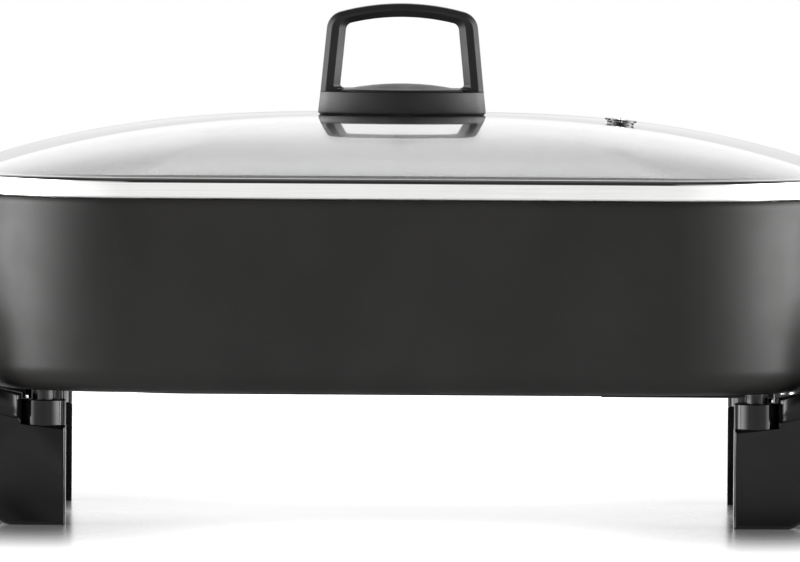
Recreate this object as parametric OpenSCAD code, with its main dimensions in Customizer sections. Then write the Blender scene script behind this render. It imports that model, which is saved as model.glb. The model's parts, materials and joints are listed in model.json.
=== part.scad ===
// Electric skillet: a cast rectangular pan on two moulded leg-and-grip units, a domed glass lid in a
// steel band with a loop handle and a turning steam vent, and a plug-in temperature probe.
// Millimetres. The origin is on the table under the pan's centre, X runs along the pan, -Y is the front.

/* [Pan] */
// Length of the pan over its rim
pan_l = 410; // [400:1:425]
// Width of the pan over its rim, front to back
pan_w = 310; // [300:1:325]
// Height from the pan's underside to its rim
pan_h = 91; // [84:0.5:100]
// Corner radius of the rim in plan
pan_corner_r = 80; // [76:1:86]
// How far the walls lean in from the rim to the underside
wall_lean = 6; // [4:0.5:8]
// Thickness of the walls at their foot
wall_t = 3; // [2.5:0.1:3.4]
// Width of the rim from outside to inside
rim_t = 4; // [3.6:0.1:4.4]
// Height of the rounding outside the rim
rim_round_h = 4; // [3:0.5:6]
// Depth of the rounding outside the rim
rim_round_t = 2; // [1:0.1:2.5]
// Thickness of the cooking floor
floor_t = 6; // [5.5:0.1:8]
// Outside radius around the underside
under_r = 13; // [10:0.5:14]
// Radius between the walls and the cooking floor
inside_r = 10; // [6:0.5:12]

/* [Heating element] */
// Radius of the element's tube
element_r = 3.3; // [3:0.1:3.6]
// Radius of the element loop's large bends
element_bend_r = 40; // [34:1:42]
// Half length of the element loop
element_half_l = 135; // [125:1:138]
// Half width of the element loop
element_half_w = 62; // [60:1:66]
// Depth of the cast ridge that holds the element, below the underside
ridge_h = 3.8; // [3.4:0.1:4.2]
// Width of that ridge
ridge_w = 14; // [12:0.5:15]
// Clearance between the element and its groove
groove_gap = 0.1; // [0.05:0.01:0.15]

/* [Legs and side grips] */
// Height of a leg from the table to the top of its round head
leg_h = 58.5; // [54:0.5:64]
// Height of the round head
head_h = 12.5; // [11:0.5:14]
// Radius of the round head
head_r = 10.5; // [9.8:0.1:11]
// Distance from the pan's end to a leg's screw
leg_inset_x = 38.4; // [36:0.2:41]
// Distance from the pan's front to a leg's screw
leg_inset_y = 45; // [43:0.5:48]
// Height of the steel spacers between the heads and the pan
spacer_h = 4.5; // [3:0.1:6]
// Radius of the spacers
spacer_r = 5.5; // [5:0.1:6.5]
// Length of a foot's flat base
foot_l = 25; // [22:0.5:28]
// Radius at the foot's outer corner
foot_corner_r = 8; // [6:0.5:9]
// Radius of the leg's long outer sweep
leg_sweep_r = 80; // [70:1:85]
// Direction in which the foot's corner ends, above level
foot_heading = 30; // [26:1:34]
// Direction in which the outer sweep ends, above level
sweep_heading = 68; // [64:1:70]
// Wall thickness of a leg's moulding
leg_wall = 3.5; // [3:0.1:4]
// Thickness of the arms that carry the grips
arm_t = 16.5; // [15:0.5:18]
// How far the arms stand proud of the legs' front
arm_proud = 3; // [2:0.5:3.5]
// Gap for the fingers between the rim and the side grip
finger_gap = 49; // [46:0.5:54]
// Thickness of the side grip, outwards
grip_t = 18; // [16:0.5:20]
// Height of the side grip's underside above the table
grip_z = 72; // [71:0.5:76]
// Height of the side grip itself
grip_h = 26; // [24:0.5:30]
// Plan radius outside the grip's corners
grip_corner_r = 42; // [38:1:46]
// Radius along the grip's outer edges
grip_edge_r = 9; // [6:0.5:10]

/* [Leg screws] */
// Radius of the leg screws' shanks
leg_screw_r = 2.5; // [2:0.1:2.8]
// Radius of the leg screws' heads
leg_screw_head_r = 4.5; // [4.2:0.1:5]
// Height of the leg screws' heads
leg_screw_head_h = 3; // [2.5:0.1:3.4]
// Thickness of the round head above the screw's head
screw_seat_t = 8.5; // [7:0.1:9]
// Depth of thread in the pan's floor
thread_depth = 4.4; // [3:0.1:4.8]
// Radial clearance of screws in their holes
screw_gap = 0.05; // [0.02:0.01:0.1]
// Radial clearance of screws in pieces that they only pass through
through_gap = 0.2; // [0.15:0.05:0.4]
// Clearance for a driver around the screws' heads
driver_gap = 0.9; // [0.6:0.1:1.2]

/* [Lid] */
// Gap between the pan's rim and the lid's band
seam_gap = 0.3; // [0.25:0.05:0.8]
// Height of the steel band
band_h = 9.5; // [8.5:0.1:11]
// Thickness of the steel
band_t = 0.8; // [0.6:0.05:1]
// Radius at the band's top edge
band_edge_r = 1.5; // [1.2:0.1:2.5]
// How far the band's lip reaches over the glass
band_lip = 3; // [2.6:0.1:3.4]
// Depth of the flange that locates the lid inside the pan
locate_h = 4; // [3:0.1:6]
// Gap between the locating flange and the rim's inner edge
locate_gap = 0.8; // [0.6:0.1:1.2]
// Thickness of the glass
glass_t = 4; // [3.5:0.1:4.6]
// Gap around the glass inside the band
glass_gap = 0.2; // [0.1:0.05:0.4]
// Bevel around the top of the glass's edge
glass_bevel = 0.8; // [0.8:0.1:1.2]
// Rise of the dome above the glass's rim
dome_rise = 25.8; // [22:0.2:32]
// Shape of the dome's section along the pan: 2 is a parabola, more is flatter
dome_power_x = 2.7; // [2.1:0.05:2.8]
// Shape of the dome's section across the pan
dome_power_y = 3.5; // [3:0.05:4]

/* [Steam vent] */
// Distance of the vent from the lid's centre
vent_x = 103; // [95:1:112]
// Radius of the turning disc
vent_disc_r = 7.5; // [7:0.1:8.5]
// Thickness of the disc
vent_disc_t = 0.8; // [0.6:0.1:1]
// Radius of the eyelet's flanges
vent_flange_r = 6.4; // [6:0.1:6.8]
// Thickness of the eyelet's flanges
vent_flange_t = 0.9; // [0.7:0.1:1.1]
// Radius of the eyelet's neck through the glass
vent_neck_r = 4; // [3.8:0.1:4.2]
// Radius of the steam holes
steam_hole_r = 0.85; // [0.6:0.05:0.9]
// Distance of the steam holes from the vent's centre
steam_hole_ring = 2.6; // [2.5:0.05:2.8]
// Radius of the vent's rivet
rivet_r = 1; // [0.9:0.05:1.1]
// Radius of the rivet's head
rivet_head_r = 2.2; // [1.8:0.1:2.4]
// Height of the rivet's head
rivet_head_h = 0.7; // [0.5:0.1:0.9]
// Running clearance around the rivet
rivet_gap = 0.06; // [0.04:0.01:0.1]
// Gap between the turning disc and its neighbours
disc_gap = 0.3; // [0.25:0.05:0.4]

/* [Lid handle] */
// Height of the handle above the glass
handle_h = 52; // [48:0.5:58]
// Width of the handle at its foot
handle_foot_w = 79; // [76:0.5:84]
// Width of the handle at its shoulders
handle_top_w = 71.4; // [69:0.2:73]
// Radius of the handle's top arch
handle_arch_r = 110; // [100:1:130]
// Radius of the handle's shoulders
shoulder_r = 9; // [8:0.5:10]
// Thickness of the handle's top bar
bar_t = 6.2; // [5.5:0.1:7]
// Width of the handle's two legs
loop_leg_w = 8.5; // [8:0.1:9.5]
// Radius inside the loop's upper corners
loop_inner_r = 3.5; // [3:0.1:4]
// Depth of the loop, front to back
loop_d = 14; // [12:0.5:16]
// Height of the handle's base
base_h = 9.2; // [8.5:0.1:10]
// Depth of the base at its middle
base_d = 44; // [40:0.5:48]
// Depth of the base at its ends
base_end_d = 20; // [18:0.5:22]
// Gap between the base and the glass
base_gap = 0.4; // [0.3:0.1:0.8]
// Rise of the cap inside the loop
cap_h = 4.7; // [4:0.1:5.5]
// Height of the shadow line under the cap
shadow_h = 0.8; // [0.6:0.1:1]
// Setback of the cap from the base's edge
cap_setback = 1.2; // [1:0.1:2]
// Setback of the pedestal under the cap
pedestal_setback = 2.4; // [2:0.1:3]
// Radius of the handle's gaskets
gasket_r = 16; // [14:0.5:17]
// Thickness of the upper gasket
gasket_t = 1.4; // [1.2:0.1:1.8]
// Radius of the washers under the glass
washer_r = 9; // [8:0.5:11]
// Thickness of the washers under the glass
washer_t = 1.1; // [0.8:0.1:1.5]
// Radius of the handle's screw
handle_screw_r = 2.5; // [2:0.1:2.6]
// Radius of the handle's screw head
handle_screw_head_r = 4.5; // [4.2:0.1:5]
// Height of the handle's screw head
handle_screw_head_h = 2.8; // [2.2:0.1:3.2]
// Depth of thread in the handle
handle_thread = 7; // [6:0.1:7.5]

/* [Probe socket] */
// Radius of the sensing rod
rod_r = 3; // [2.8:0.1:3.2]
// Rounding at the rod's tip
rod_tip_round = 2.2; // [1.5:0.1:2.5]
// Sliding clearance around the rod
rod_gap = 0.1; // [0.06:0.01:0.1]
// Depth of the rod's axis below the underside
rod_drop = 2.8; // [2.6:0.1:3]
// Half width of the cast boss around the rod
boss_half_w = 7; // [6:0.1:7.5]
// Metal below the rod's bore
boss_wall = 1.3; // [1:0.1:1.6]
// Length of the rod inside the boss
rod_reach = 78; // [60:1:80]
// Radius of the terminal pins
pin_r = 2.2; // [2:0.1:2.4]
// Radius at the middle of the terminal pins' bends
pin_bend_r = 3.4; // [3:0.1:3.8]
// Half the distance between the terminal pins
pin_half_pitch = 11; // [10.5:0.1:12]
// Depth of the terminal pins' axes below the underside
pin_drop = 13.5; // [13:0.1:14.5]
// Distance from the pan's end to the shroud's open mouth
shroud_inset = 8; // [6:0.5:10]
// Length of the shroud
shroud_l = 21; // [20:0.5:23]
// Thickness of the shroud's sheet
shroud_t = 1.6; // [1.2:0.1:1.8]
// Clearance between the probe's nose and the shroud
nose_gap = 0.6; // [0.4:0.1:1]
// Width of the shroud's two screwed flanges
flange_w = 10; // [9:0.5:12]
// Radius of the shroud's screws
shroud_screw_r = 1.9; // [1.6:0.1:2.1]
// Radius of their heads
shroud_screw_head_r = 3.5; // [3.2:0.1:3.8]
// Height of their heads
shroud_screw_head_h = 2.4; // [2:0.1:2.8]

/* [Control probe] */
// Length of the probe's body along its base
body_l = 62; // [60:0.5:64]
// Width of the probe's body
body_w = 48; // [46:0.5:52]
// Height of the probe's body
body_h = 46; // [44:0.5:47]
// Drop of the probe's underside below the pan's
body_drop = 43; // [42.5:0.5:44]
// Gap between the shroud's mouth and the probe's body
body_gap = 3; // [2:0.5:5]
// Height of the upright toe below the sloping face
toe_h = 4; // [3:0.5:6]
// How far the face slopes back
slope_back = 19; // [17:0.5:21]
// Wall thickness of the probe's body
shell_t = 2.2; // [2:0.1:2.6]
// Plan radius of the body's corners
body_corner_r = 6; // [5:0.5:8]
// Height of the parting line above the body's underside
split_h = 23; // [22.8:0.1:23.2]
// Gap between the bend of the pins and the probe's nose
nose_end_gap = 0.4; // [0.3:0.1:1]
// Height of the nose
nose_h = 12; // [11.6:0.1:12.2]
// Width of the nose
nose_w = 43; // [40:0.5:43]
// Wall of the contact sleeves
sleeve_t = 1.2; // [0.8:0.1:1.4]
// Radial clearance of the contact sleeves on the pins
sleeve_gap = 0.05; // [0.03:0.01:0.1]
// Half width of the thermostat
thermostat_half_w = 11; // [10:0.5:11.5]
// Length of the thermostat
thermostat_l = 28; // [26:0.5:29]
// Radius of the body screws
body_screw_r = 1.5; // [1.2:0.1:1.6]
// Radius of the screw posts inside the body
post_r = 4.5; // [4.2:0.1:4.8]
// Radius of the cord's way through the gland
cord_way_r = 3.8; // [3.4:0.1:4]
// Wall of the gland
gland_t = 2.2; // [1.8:0.1:2.4]
// Length of the gland
gland_l = 13; // [12:0.5:14]
// Radius of the indicator lens
lens_r = 3.5; // [3:0.1:3.8]
// Height of the lens above the body
lens_proud = 1; // [0.6:0.1:1.5]
// Radius of the lamp
lamp_r = 2.4; // [2:0.1:2.6]
// Length of the lamp
lamp_l = 18; // [14:0.5:20]

/* [Temperature dial] */
// Radius of the dial's skirt
dial_r = 19; // [17:0.5:19.5]
// Thickness of the dial's skirt
dial_skirt_t = 3; // [2.5:0.1:4]
// Radius of the dial's knob
knob_r = 13; // [12:0.5:15]
// Height of the knob above the skirt
knob_h = 4.4; // [4:0.1:5]
// Height of the finger bar above the knob
finger_bar_h = 3.2; // [2.5:0.1:3.6]
// Width of the finger bar
finger_bar_w = 6; // [5:0.5:8]
// Gap between the dial and the body
dial_gap = 0.8; // [0.5:0.1:1.2]
// Radius of the dial's shaft
shaft_r = 3; // [2.5:0.1:3.4]
// Length of shaft inside the body
shaft_l = 26; // [24:0.5:27]
// Running clearance of the shaft
shaft_gap = 0.06; // [0.04:0.01:0.1]

/* [Release trigger] */
// Width of the trigger
trigger_w = 18; // [16:0.5:19]
// Length of the trigger from its pivot to its tip
trigger_l = 39; // [36:0.5:42]
// Thickness of the trigger's blade
trigger_t = 3; // [2.5:0.1:3.4]
// Radius of the trigger's eye
eye_r = 4; // [3.6:0.1:4]
// Height of the pivot above the body's underside
pivot_h = 4.5; // [4.5:0.1:5]
// Distance of the pivot behind the body's front
pivot_x = 8; // [7.8:0.1:8.6]
// Drop of the blade's upper face from the body at its root
root_drop = 1.8; // [1.6:0.1:2.2]
// Drop of the blade's upper face from the body at its tip
tip_drop = 6.8; // [6.6:0.1:7.4]
// Radius of the pivot pin
pivot_r = 1.5; // [1.2:0.1:1.8]
// Running clearance of the pivot pin
pivot_gap = 0.06; // [0.04:0.01:0.1]
// Thickness of the ears that hold the pivot pin
ear_t = 3; // [2.5:0.1:4]
// Gap on each side of the trigger
trigger_gap = 0.5; // [0.4:0.1:0.8]
// Mean radius of the return spring
spring_r = 2.6; // [2.2:0.1:3]
// Radius of the spring's wire
spring_wire_r = 0.4; // [0.3:0.05:0.45]
// Turns of the return spring
spring_turns = 4; // [3:1:4]
// Distance of the spring from the pivot
spring_x = 28; // [26:0.5:30]

/* [Hidden] */
$fn = 72;
eps = 0.01;
over = 1;

// Numbers of steps along drawn arcs
arc_steps = 8;
edge_steps = 6;
foot_steps = 4;
sweep_steps = 10;
bulge_steps = 12;

// Small allowances
hole_run = 0.2;
press_gap = 0.02;

// Corner centres of the pan in plan, and its main levels
corner_x = pan_l / 2 - pan_corner_r;
corner_y = pan_w / 2 - pan_corner_r;
pan_z = leg_h + spacer_h;
rim_z = pan_z + pan_h;
foot_outline_r = pan_corner_r - wall_lean;
lean_angle = atan(wall_lean / (pan_h - under_r - rim_round_h));
flat_r = foot_outline_r - under_r;
thread_l = thread_depth + hole_run;

// Element and probe socket
element_z = pan_z - ridge_h + element_r + groove_gap;
groove_r = element_r + groove_gap;
element_turn_r = element_half_w - element_bend_r - pin_half_pitch;
body_z = pan_z - body_drop;
shroud_mouth_x = pan_l / 2 - shroud_inset;
shroud_end_x = shroud_mouth_x - shroud_l;
terminal_in = 2;
element_end_x = shroud_end_x + terminal_in;
post_x = element_end_x + pin_bend_r;
pin_z = pan_z - pin_drop;
pin_tip_x = shroud_mouth_x - over;
rod_z = pan_z - rod_drop;
bore_r = rod_r + rod_gap;
boss_z = rod_z - bore_r - boss_wall;
rod_tip_x = element_end_x - rod_reach;
boss_tip_l = 5;
boss_start_x = rod_tip_x - boss_tip_l;
flange_l = 8;
flange_x = shroud_end_x + terminal_in;
shroud_screw_x = flange_x + flange_l / 2;
nose_half_w = nose_w / 2;
nose_z = body_z + split_h;
shroud_half_in = nose_half_w + nose_gap;
shroud_half_out = shroud_half_in + shroud_t;
shroud_floor_z = nose_z - nose_gap;

// Legs and grips
leg_x = pan_l / 2 - leg_inset_x;
leg_y = pan_w / 2 - leg_inset_y;
leg_inner_x = leg_x - head_r;
leg_front_y = leg_y + head_r;
head_z = leg_h - head_h;
screw_seat_z = leg_h - screw_seat_t;
driver_way_r = leg_screw_head_r + driver_gap;
arm_front_y = leg_front_y + arm_proud;
arm_back_y = arm_front_y - arm_t;
head_in_arm = 0.5;
arm_start_x = leg_x + head_r - head_in_arm;
grip_in_x = pan_l / 2 + finger_gap;
grip_out_x = grip_in_x + grip_t;
grip_inner_r = grip_corner_r - grip_t;
arm_low_rise = 4;
arm_top_rise = 4.5;
arm_low = [arm_start_x, head_z + arm_low_rise];
arm_top = [arm_start_x, leg_h + arm_top_rise];
grip_low = [grip_in_x, grip_z];
grip_top = [grip_in_x, grip_z + grip_h];
// Steps in X and Z from those four points to the corners of the arm's outline
root_low_step = [0, -0.8];
bow_low_step = [10, 1.6];
knee_low_step = [-22, -3.6];
join_low_step = [-8, 0];
join_top_step = [-4, 0];
knee_top_step = [-16, -3.5];
bow_top_step = [22, 4.4];
neck_top_step = [10, 0.2];
edge_top_step = [4, -0.4];
root_top_step = [0, -2.4];
// Steps to the corners of the web behind the arm
web_out_step = [-24, 8];
web_in_step = [6, -4];

// Lid
lid_z = rim_z + seam_gap;
band_top_z = lid_z + band_h;
glass_rim_z = band_top_z - band_t;
glass_rim_r = pan_corner_r - band_t - glass_gap;
dome_rim_r = pan_corner_r - band_lip - glass_gap;
glass_under_z = glass_rim_z - glass_t;
crest_z = glass_rim_z + dome_rise;
dome_half_x = corner_x + dome_rim_r;
vent_share = vent_x / dome_half_x;
crest_share = 0.08;
// Shares of the way from the crest to the rim where the dome's rings lie
dome_steps = [1, 0.97, 0.92, 0.86, 0.78, 0.68, 0.6, vent_share, 0.4, 0.28, 0.16, crest_share];
outline_arc_steps = 8;
outline_side_steps = 6;
quarter_turn = 90;
vent_z = glass_rim_z + dome_rise * (1 - pow(vent_share, dome_power_x));
vent_tilt = atan(dome_rise * dome_power_x * pow(vent_share, dome_power_x - 1) / dome_half_x);
vent_glass_t = glass_t * cos(vent_tilt);
vent_clear = 0.2;
steam_holes = 3;
eyelet_top = vent_clear + vent_flange_t;
eyelet_low = -vent_glass_t - eyelet_top;
disc_z = eyelet_top + disc_gap;
rivet_head_z = disc_z + vent_disc_t + disc_gap;
rivet_low = eyelet_low - rivet_head_h;
rivet_foot_r = rivet_r + 0.6;

// Lid handle
handle_z = crest_z + base_gap;
handle_top_z = crest_z + handle_h;
arch_centre_z = handle_top_z - handle_arch_r;
shoulder_x = handle_top_w / 2 - shoulder_r;
shoulder_z = arch_centre_z + sqrt(pow(handle_arch_r - shoulder_r, 2) - pow(shoulder_x, 2));
shoulder_angle = 90 - atan2(shoulder_x, shoulder_z - arch_centre_z);
leg_taper = atan((handle_foot_w - handle_top_w) / 2 / (shoulder_z - handle_z));
arch_inner_r = handle_arch_r - bar_t;
loop_inner_x = handle_top_w / 2 - loop_leg_w - loop_inner_r;
loop_inner_z = arch_centre_z + sqrt(pow(arch_inner_r - loop_inner_r, 2) - pow(loop_inner_x, 2));
inner_angle = 90 - atan2(loop_inner_x, loop_inner_z - arch_centre_z);
arch_step = 2;
base_top_z = handle_z + base_h;
opening_foot_x = loop_inner_x + loop_inner_r + (loop_inner_z - base_top_z) * tan(leg_taper);
base_bulge = (base_d - base_end_d) / 2;
base_end_l = 2.5;
base_half_w = handle_foot_w / 2 - base_end_l;
base_arc_r = (pow(base_half_w, 2) + pow(base_bulge, 2)) / (2 * base_bulge);
base_arc_angle = asin(base_half_w / base_arc_r);
cap_z = base_top_z + shadow_h;
cap_top_z = base_top_z + cap_h;
cap_end_drop = 2.6;
cap_end_gap = 0.3;
cap_half_w = opening_foot_x - cap_end_gap;
cap_arch_r = (pow(cap_half_w, 2) + pow(cap_end_drop, 2)) / (2 * cap_end_drop);
cap_cross_r = 62;
glass_hole_gap = 1;
glass_hole_r = handle_screw_r + glass_hole_gap;
washer_z = crest_z - glass_t - dome_rise * pow(crest_share, dome_power_x);

// Control probe
body_x = shroud_mouth_x + body_gap;
body_end_x = body_x + body_l;
body_top_z = body_z + body_h;
split_z = body_z + split_h;
face_low_z = body_z + toe_h;
face_lean = slope_back / (body_h - toe_h);
face_tilt = atan(face_lean);
face_mid_z = (face_low_z + body_top_z) / 2;
face_mid_x = body_end_x - slope_back / 2;
nose_x = post_x + pin_bend_r + nose_end_gap;
nose_l = body_x - nose_x;
sleeve_in_r = pin_r + sleeve_gap;
sleeve_r = sleeve_in_r + sleeve_t;
sleeve_set = 0.5;
rod_in_body = 12;
rod_end_x = body_x + rod_in_body;
thermostat_in = 6;
thermostat_gap = 1;
thermostat_roof = 4;
thermostat_x = body_x + thermostat_in;
thermostat_z = body_z + pivot_h + eye_r + thermostat_gap;
thermostat_h = body_top_z - thermostat_roof - thermostat_z;
shaft_end_gap = 0.4;
post_front_in = 7;
post_rear_in = 38;
post_in_wall = 0.2;
post_front_x = body_x + post_front_in;
post_rear_x = body_x + post_rear_in;
post_y = body_w / 2 - shell_t + post_in_wall - post_r;
body_screw_head_r = body_screw_r + 1.3;
body_screw_head_h = 2;
body_screw_depth = 9;
body_screw_set = 0.3;
gland_in_x = 20;
gland_in_z = 12;
gland_x = body_x + gland_in_x;
gland_z = body_z + gland_in_z;
gland_r = cord_way_r + gland_t;
gland_flange_r = gland_r + 2;
gland_flange_t = 3;
gland_ring_r = gland_r + 1;
gland_ring_t = 2;
lens_in_x = 26;
lens_in_y = 8;
lens_x = body_x + lens_in_x;
lens_y = body_w / 2 - lens_in_y;
lens_flange_r = lens_r + 1;
lens_flange_t = 1.2;
lamp_gap = 0.2;
shaft_hole_r = shaft_r + 1;
shaft_in_dial = 6;
skirt_top = dial_gap + dial_skirt_t;
knob_top = skirt_top + knob_h;

// Release trigger
pivot_z = body_z + pivot_h;
pivot_abs_x = body_x + pivot_x;
ear_in_y = trigger_w / 2 + trigger_gap;
slot_margin = 1;
slot_end_gap = 2.6;
spring_abs_x = pivot_abs_x + spring_x;
blade_in = 6;
blade_tip_r = 1.5;
blade_heel = 0.6;
blade_root_x = pivot_abs_x + blade_in;
blade_root_z = body_z - root_drop;
blade_tip_x = pivot_abs_x + trigger_l;
blade_tip_z = body_z - tip_drop;
blade_slope = (tip_drop - root_drop) / (trigger_l - blade_in);
spring_in_blade = 0.35;
spring_top_gap = 0.1;
spring_foot_z = blade_root_z - blade_slope * (spring_x - blade_in) + spring_in_blade;
spring_top_z = body_z - spring_top_gap;
spring_rings = 12;
spring_sides = 6;

// Points on an ellipse's arc, from angle a0 to a1
function arc(cx, cy, rx, ry, a0, a1, n) =
  [for (i = [0:n]) let (a = a0 + (a1 - a0) * i / n) [cx + rx * cos(a), cy + ry * sin(a)]];

function mirrored(points) = [for (i = [len(points) - 1:-1:0]) [-points[i][0], points[i][1]]];

// Section of the pan's floor and wall, outwards from a corner's centre
function pan_section() = concat(
  [[0, 0]],
  arc(flat_r, under_r, under_r, under_r, -90, -lean_angle, arc_steps),
  arc(pan_corner_r - rim_round_t, pan_h - rim_round_h, rim_round_t, rim_round_h, 0, 90, edge_steps),
  [[pan_corner_r - rim_t, pan_h]],
  arc(foot_outline_r - wall_t - inside_r, floor_t + inside_r, inside_r, inside_r, 0, -90, arc_steps),
  [[0, floor_t]]
);

// Section of the lid's rolled band, with its locating flange and the glass's seat
function band_section() = let (
    r = pan_corner_r,
    inner_r = band_edge_r - band_t,
    low = 0,
    seat = glass_under_z - lid_z,
    flange_r = r - rim_t - locate_gap,
    seat_r = r - band_lip
  ) concat(
    [[r, low]],
    arc(r - band_edge_r, band_h - band_edge_r, band_edge_r, band_edge_r, 0, 90, edge_steps),
    [[seat_r, band_h], [seat_r, band_h - band_t]],
    arc(r - band_edge_r, band_h - band_edge_r, inner_r, inner_r, 90, 0, edge_steps),
    [[r - band_t, low + band_t], [seat_r + band_t, low + band_t], [seat_r + band_t, seat]],
    [[seat_r, seat], [seat_r, low + band_t], [flange_r - band_t, low + band_t]],
    [[flange_r - band_t, -locate_h], [flange_r, -locate_h], [flange_r, low]]
  );

// Sweeps a section around the pan's rounded rectangle
module around(section) {
  for (k = [0:3]) {
    out = k % 2 == 0 ? corner_x : corner_y;
    half = k % 2 == 0 ? corner_y : corner_x;
    rotate(90 * k) {
      translate([out, half, 0]) rotate([90, 0, 0]) linear_extrude(2 * half) polygon(section);
      translate([out, half, 0]) rotate_extrude(angle = 90) polygon(section);
    }
  }
}

module bar_x(x0, x1, y, z) {
  translate([x0, y, z]) rotate([90, 0, 90]) linear_extrude(x1 - x0) children();
}

module bar_y(y0, y1, x, z) {
  translate([x, y1, z]) rotate([90, 0, 0]) linear_extrude(y1 - y0) children();
}

module bend(x, y, z, r, start) {
  translate([x, y, z]) rotate(start) rotate_extrude(angle = 90) translate([r, 0]) children();
}

// Sweeps a section along the element's loop, from one terminal to the other
module along_element(end_x) {
  bend_x = element_half_l - element_bend_r;
  bend_y = element_half_w - element_bend_r;
  turn_x = element_half_l + element_turn_r;
  bar_y(-bend_y, bend_y, -element_half_l, element_z) children();
  for (side = [0, 1]) mirror([0, side, 0]) {
    bend(-bend_x, bend_y, element_z, element_bend_r, 90) children();
    bar_x(-bend_x, bend_x, element_half_w, element_z) children();
    bend(bend_x, bend_y, element_z, element_bend_r, 0) children();
    bend(turn_x, pin_half_pitch + element_turn_r, element_z, element_turn_r, 180) children();
    bar_x(turn_x, end_x, pin_half_pitch, element_z) children();
  }
}

module element_groove_section() {
  circle(groove_r);
  translate([-groove_r, -groove_r - over]) square([2 * groove_r, groove_r + over]);
}

module ridge_section() {
  low = pan_z - ridge_h - element_z;
  translate([-ridge_w / 2, low]) square([ridge_w, ridge_h + over]);
}

module at_legs() {
  for (sx = [-1, 1], sy = [-1, 1]) translate([sx * leg_x, sy * leg_y, 0]) children();
}

module at_shroud_screws() {
  y = shroud_half_out + flange_w / 2;
  for (sy = [-1, 1]) translate([shroud_screw_x, sy * y, 0]) children();
}

module pan_body() {
  color([0.19, 0.18, 0.18]) difference() {
    union() {
      translate([0, 0, pan_z]) around(pan_section());
      translate([-corner_x, -corner_y, pan_z]) cube([2 * corner_x, 2 * corner_y, floor_t]);
      along_element(element_end_x) ridge_section();
      translate([boss_start_x, -boss_half_w, boss_z])
        cube([element_end_x - boss_start_x, 2 * boss_half_w, pan_z - boss_z + over]);
    }
    along_element(post_x + pin_r + over) element_groove_section();
    translate([rod_tip_x - over, 0, rod_z]) rotate([0, 90, 0])
      cylinder(r = bore_r, h = shroud_mouth_x - rod_tip_x + over);
    at_legs() translate([0, 0, pan_z - over]) cylinder(r = leg_screw_r + screw_gap, h = thread_l + over);
    at_shroud_screws() translate([0, 0, pan_z - over])
      cylinder(r = shroud_screw_r + screw_gap, h = thread_l + over);
  }
}

module heating_element() {
  color([0.45, 0.44, 0.43]) along_element(element_end_x) circle(element_r);
}

module terminal_pins() {
  bend_low_z = pin_z + pin_bend_r;
  bend_high_z = element_z - pin_bend_r;
  color([0.72, 0.7, 0.66]) for (sy = [-1, 1]) translate([0, sy * pin_half_pitch, 0]) {
    translate([element_end_x, 0, bend_high_z]) rotate([90, 0, 0])
      bend(0, 0, 0, pin_bend_r, 0) circle(pin_r);
    translate([post_x, 0, bend_low_z]) cylinder(r = pin_r, h = bend_high_z - bend_low_z);
    translate([post_x + pin_bend_r, 0, bend_low_z]) rotate([90, 0, 0])
      bend(0, 0, 0, pin_bend_r, 180) circle(pin_r);
    translate([post_x + pin_bend_r, 0, pin_z]) rotate([0, 90, 0])
      cylinder(r = pin_r, h = pin_tip_x - post_x - pin_bend_r);
  }
}

module inlet_shroud() {
  floor_low = shroud_floor_z - shroud_t;
  floor_h = pan_z - floor_low;
  wings_half = shroud_half_out + flange_w;
  notch_half = pin_half_pitch + ridge_w / 2 + nose_gap;
  notch_z = boss_z - nose_gap;
  color([0.6, 0.6, 0.6]) difference() {
    union() {
      translate([shroud_end_x, -shroud_half_out, floor_low])
        cube([shroud_l, 2 * shroud_half_out, floor_h]);
      translate([flange_x, -wings_half, pan_z - shroud_t]) cube([flange_l, 2 * wings_half, shroud_t]);
    }
    translate([shroud_end_x + shroud_t, -shroud_half_in, shroud_floor_z])
      cube([shroud_l, 2 * shroud_half_in, pan_z]);
    translate([shroud_end_x - over, -notch_half, notch_z])
      cube([shroud_t + 2 * over, 2 * notch_half, pan_z]);
    at_shroud_screws() translate([0, 0, pan_z - shroud_t - over])
      cylinder(r = shroud_screw_r + through_gap, h = shroud_t + 2 * over);
  }
}

module shroud_screws() {
  head_low = pan_z - shroud_t - shroud_screw_head_h;
  color([0.7, 0.7, 0.7]) at_shroud_screws() translate([0, 0, head_low]) {
    cylinder(r = shroud_screw_head_r, h = shroud_screw_head_h);
    cylinder(r = shroud_screw_r, h = shroud_screw_head_h + shroud_t + thread_depth);
  }
}

function unit(a) = [cos(a), sin(a)];
function flipped(points) = [for (i = [len(points) - 1:-1:0]) [points[i][0], -points[i][1]]];

// Outline of a leg from the front in X and Z, drawn in by an inset
function leg_outline(inset) = let (
    corner = [leg_inner_x + foot_l, foot_corner_r],
    corner_r = foot_corner_r - inset,
    sweep = corner + (foot_corner_r - leg_sweep_r) * unit(foot_heading - 90),
    sweep_r = leg_sweep_r - inset
  ) concat(
    [[leg_inner_x + inset, inset]],
    arc(corner[0], corner[1], corner_r, corner_r, -90, foot_heading - 90, foot_steps),
    arc(sweep[0], sweep[1], sweep_r, sweep_r, foot_heading - 90, sweep_heading - 90, sweep_steps),
    [[grip_in_x, leg_h + arm_top_rise] + web_out_step, arm_top + web_in_step],
    [[leg_x + head_r, head_z + over], [leg_inner_x + inset, head_z]]
  );

// Outline of an arm and the grip's end from the front in X and Z
function arm_outline() = let (
    x = grip_out_x - grip_edge_r,
    r = grip_edge_r
  ) concat(
    [arm_low + root_low_step, arm_low + bow_low_step, grip_low + knee_low_step, grip_low + join_low_step],
    arc(x, grip_z + r, r, r, -90, 0, edge_steps),
    arc(x, grip_z + grip_h - r, r, r, 0, 90, edge_steps),
    [grip_top + join_top_step, grip_top + knee_top_step, arm_top + bow_top_step],
    [arm_top + neck_top_step, arm_top + edge_top_step, arm_top + root_top_step]
  );

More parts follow.
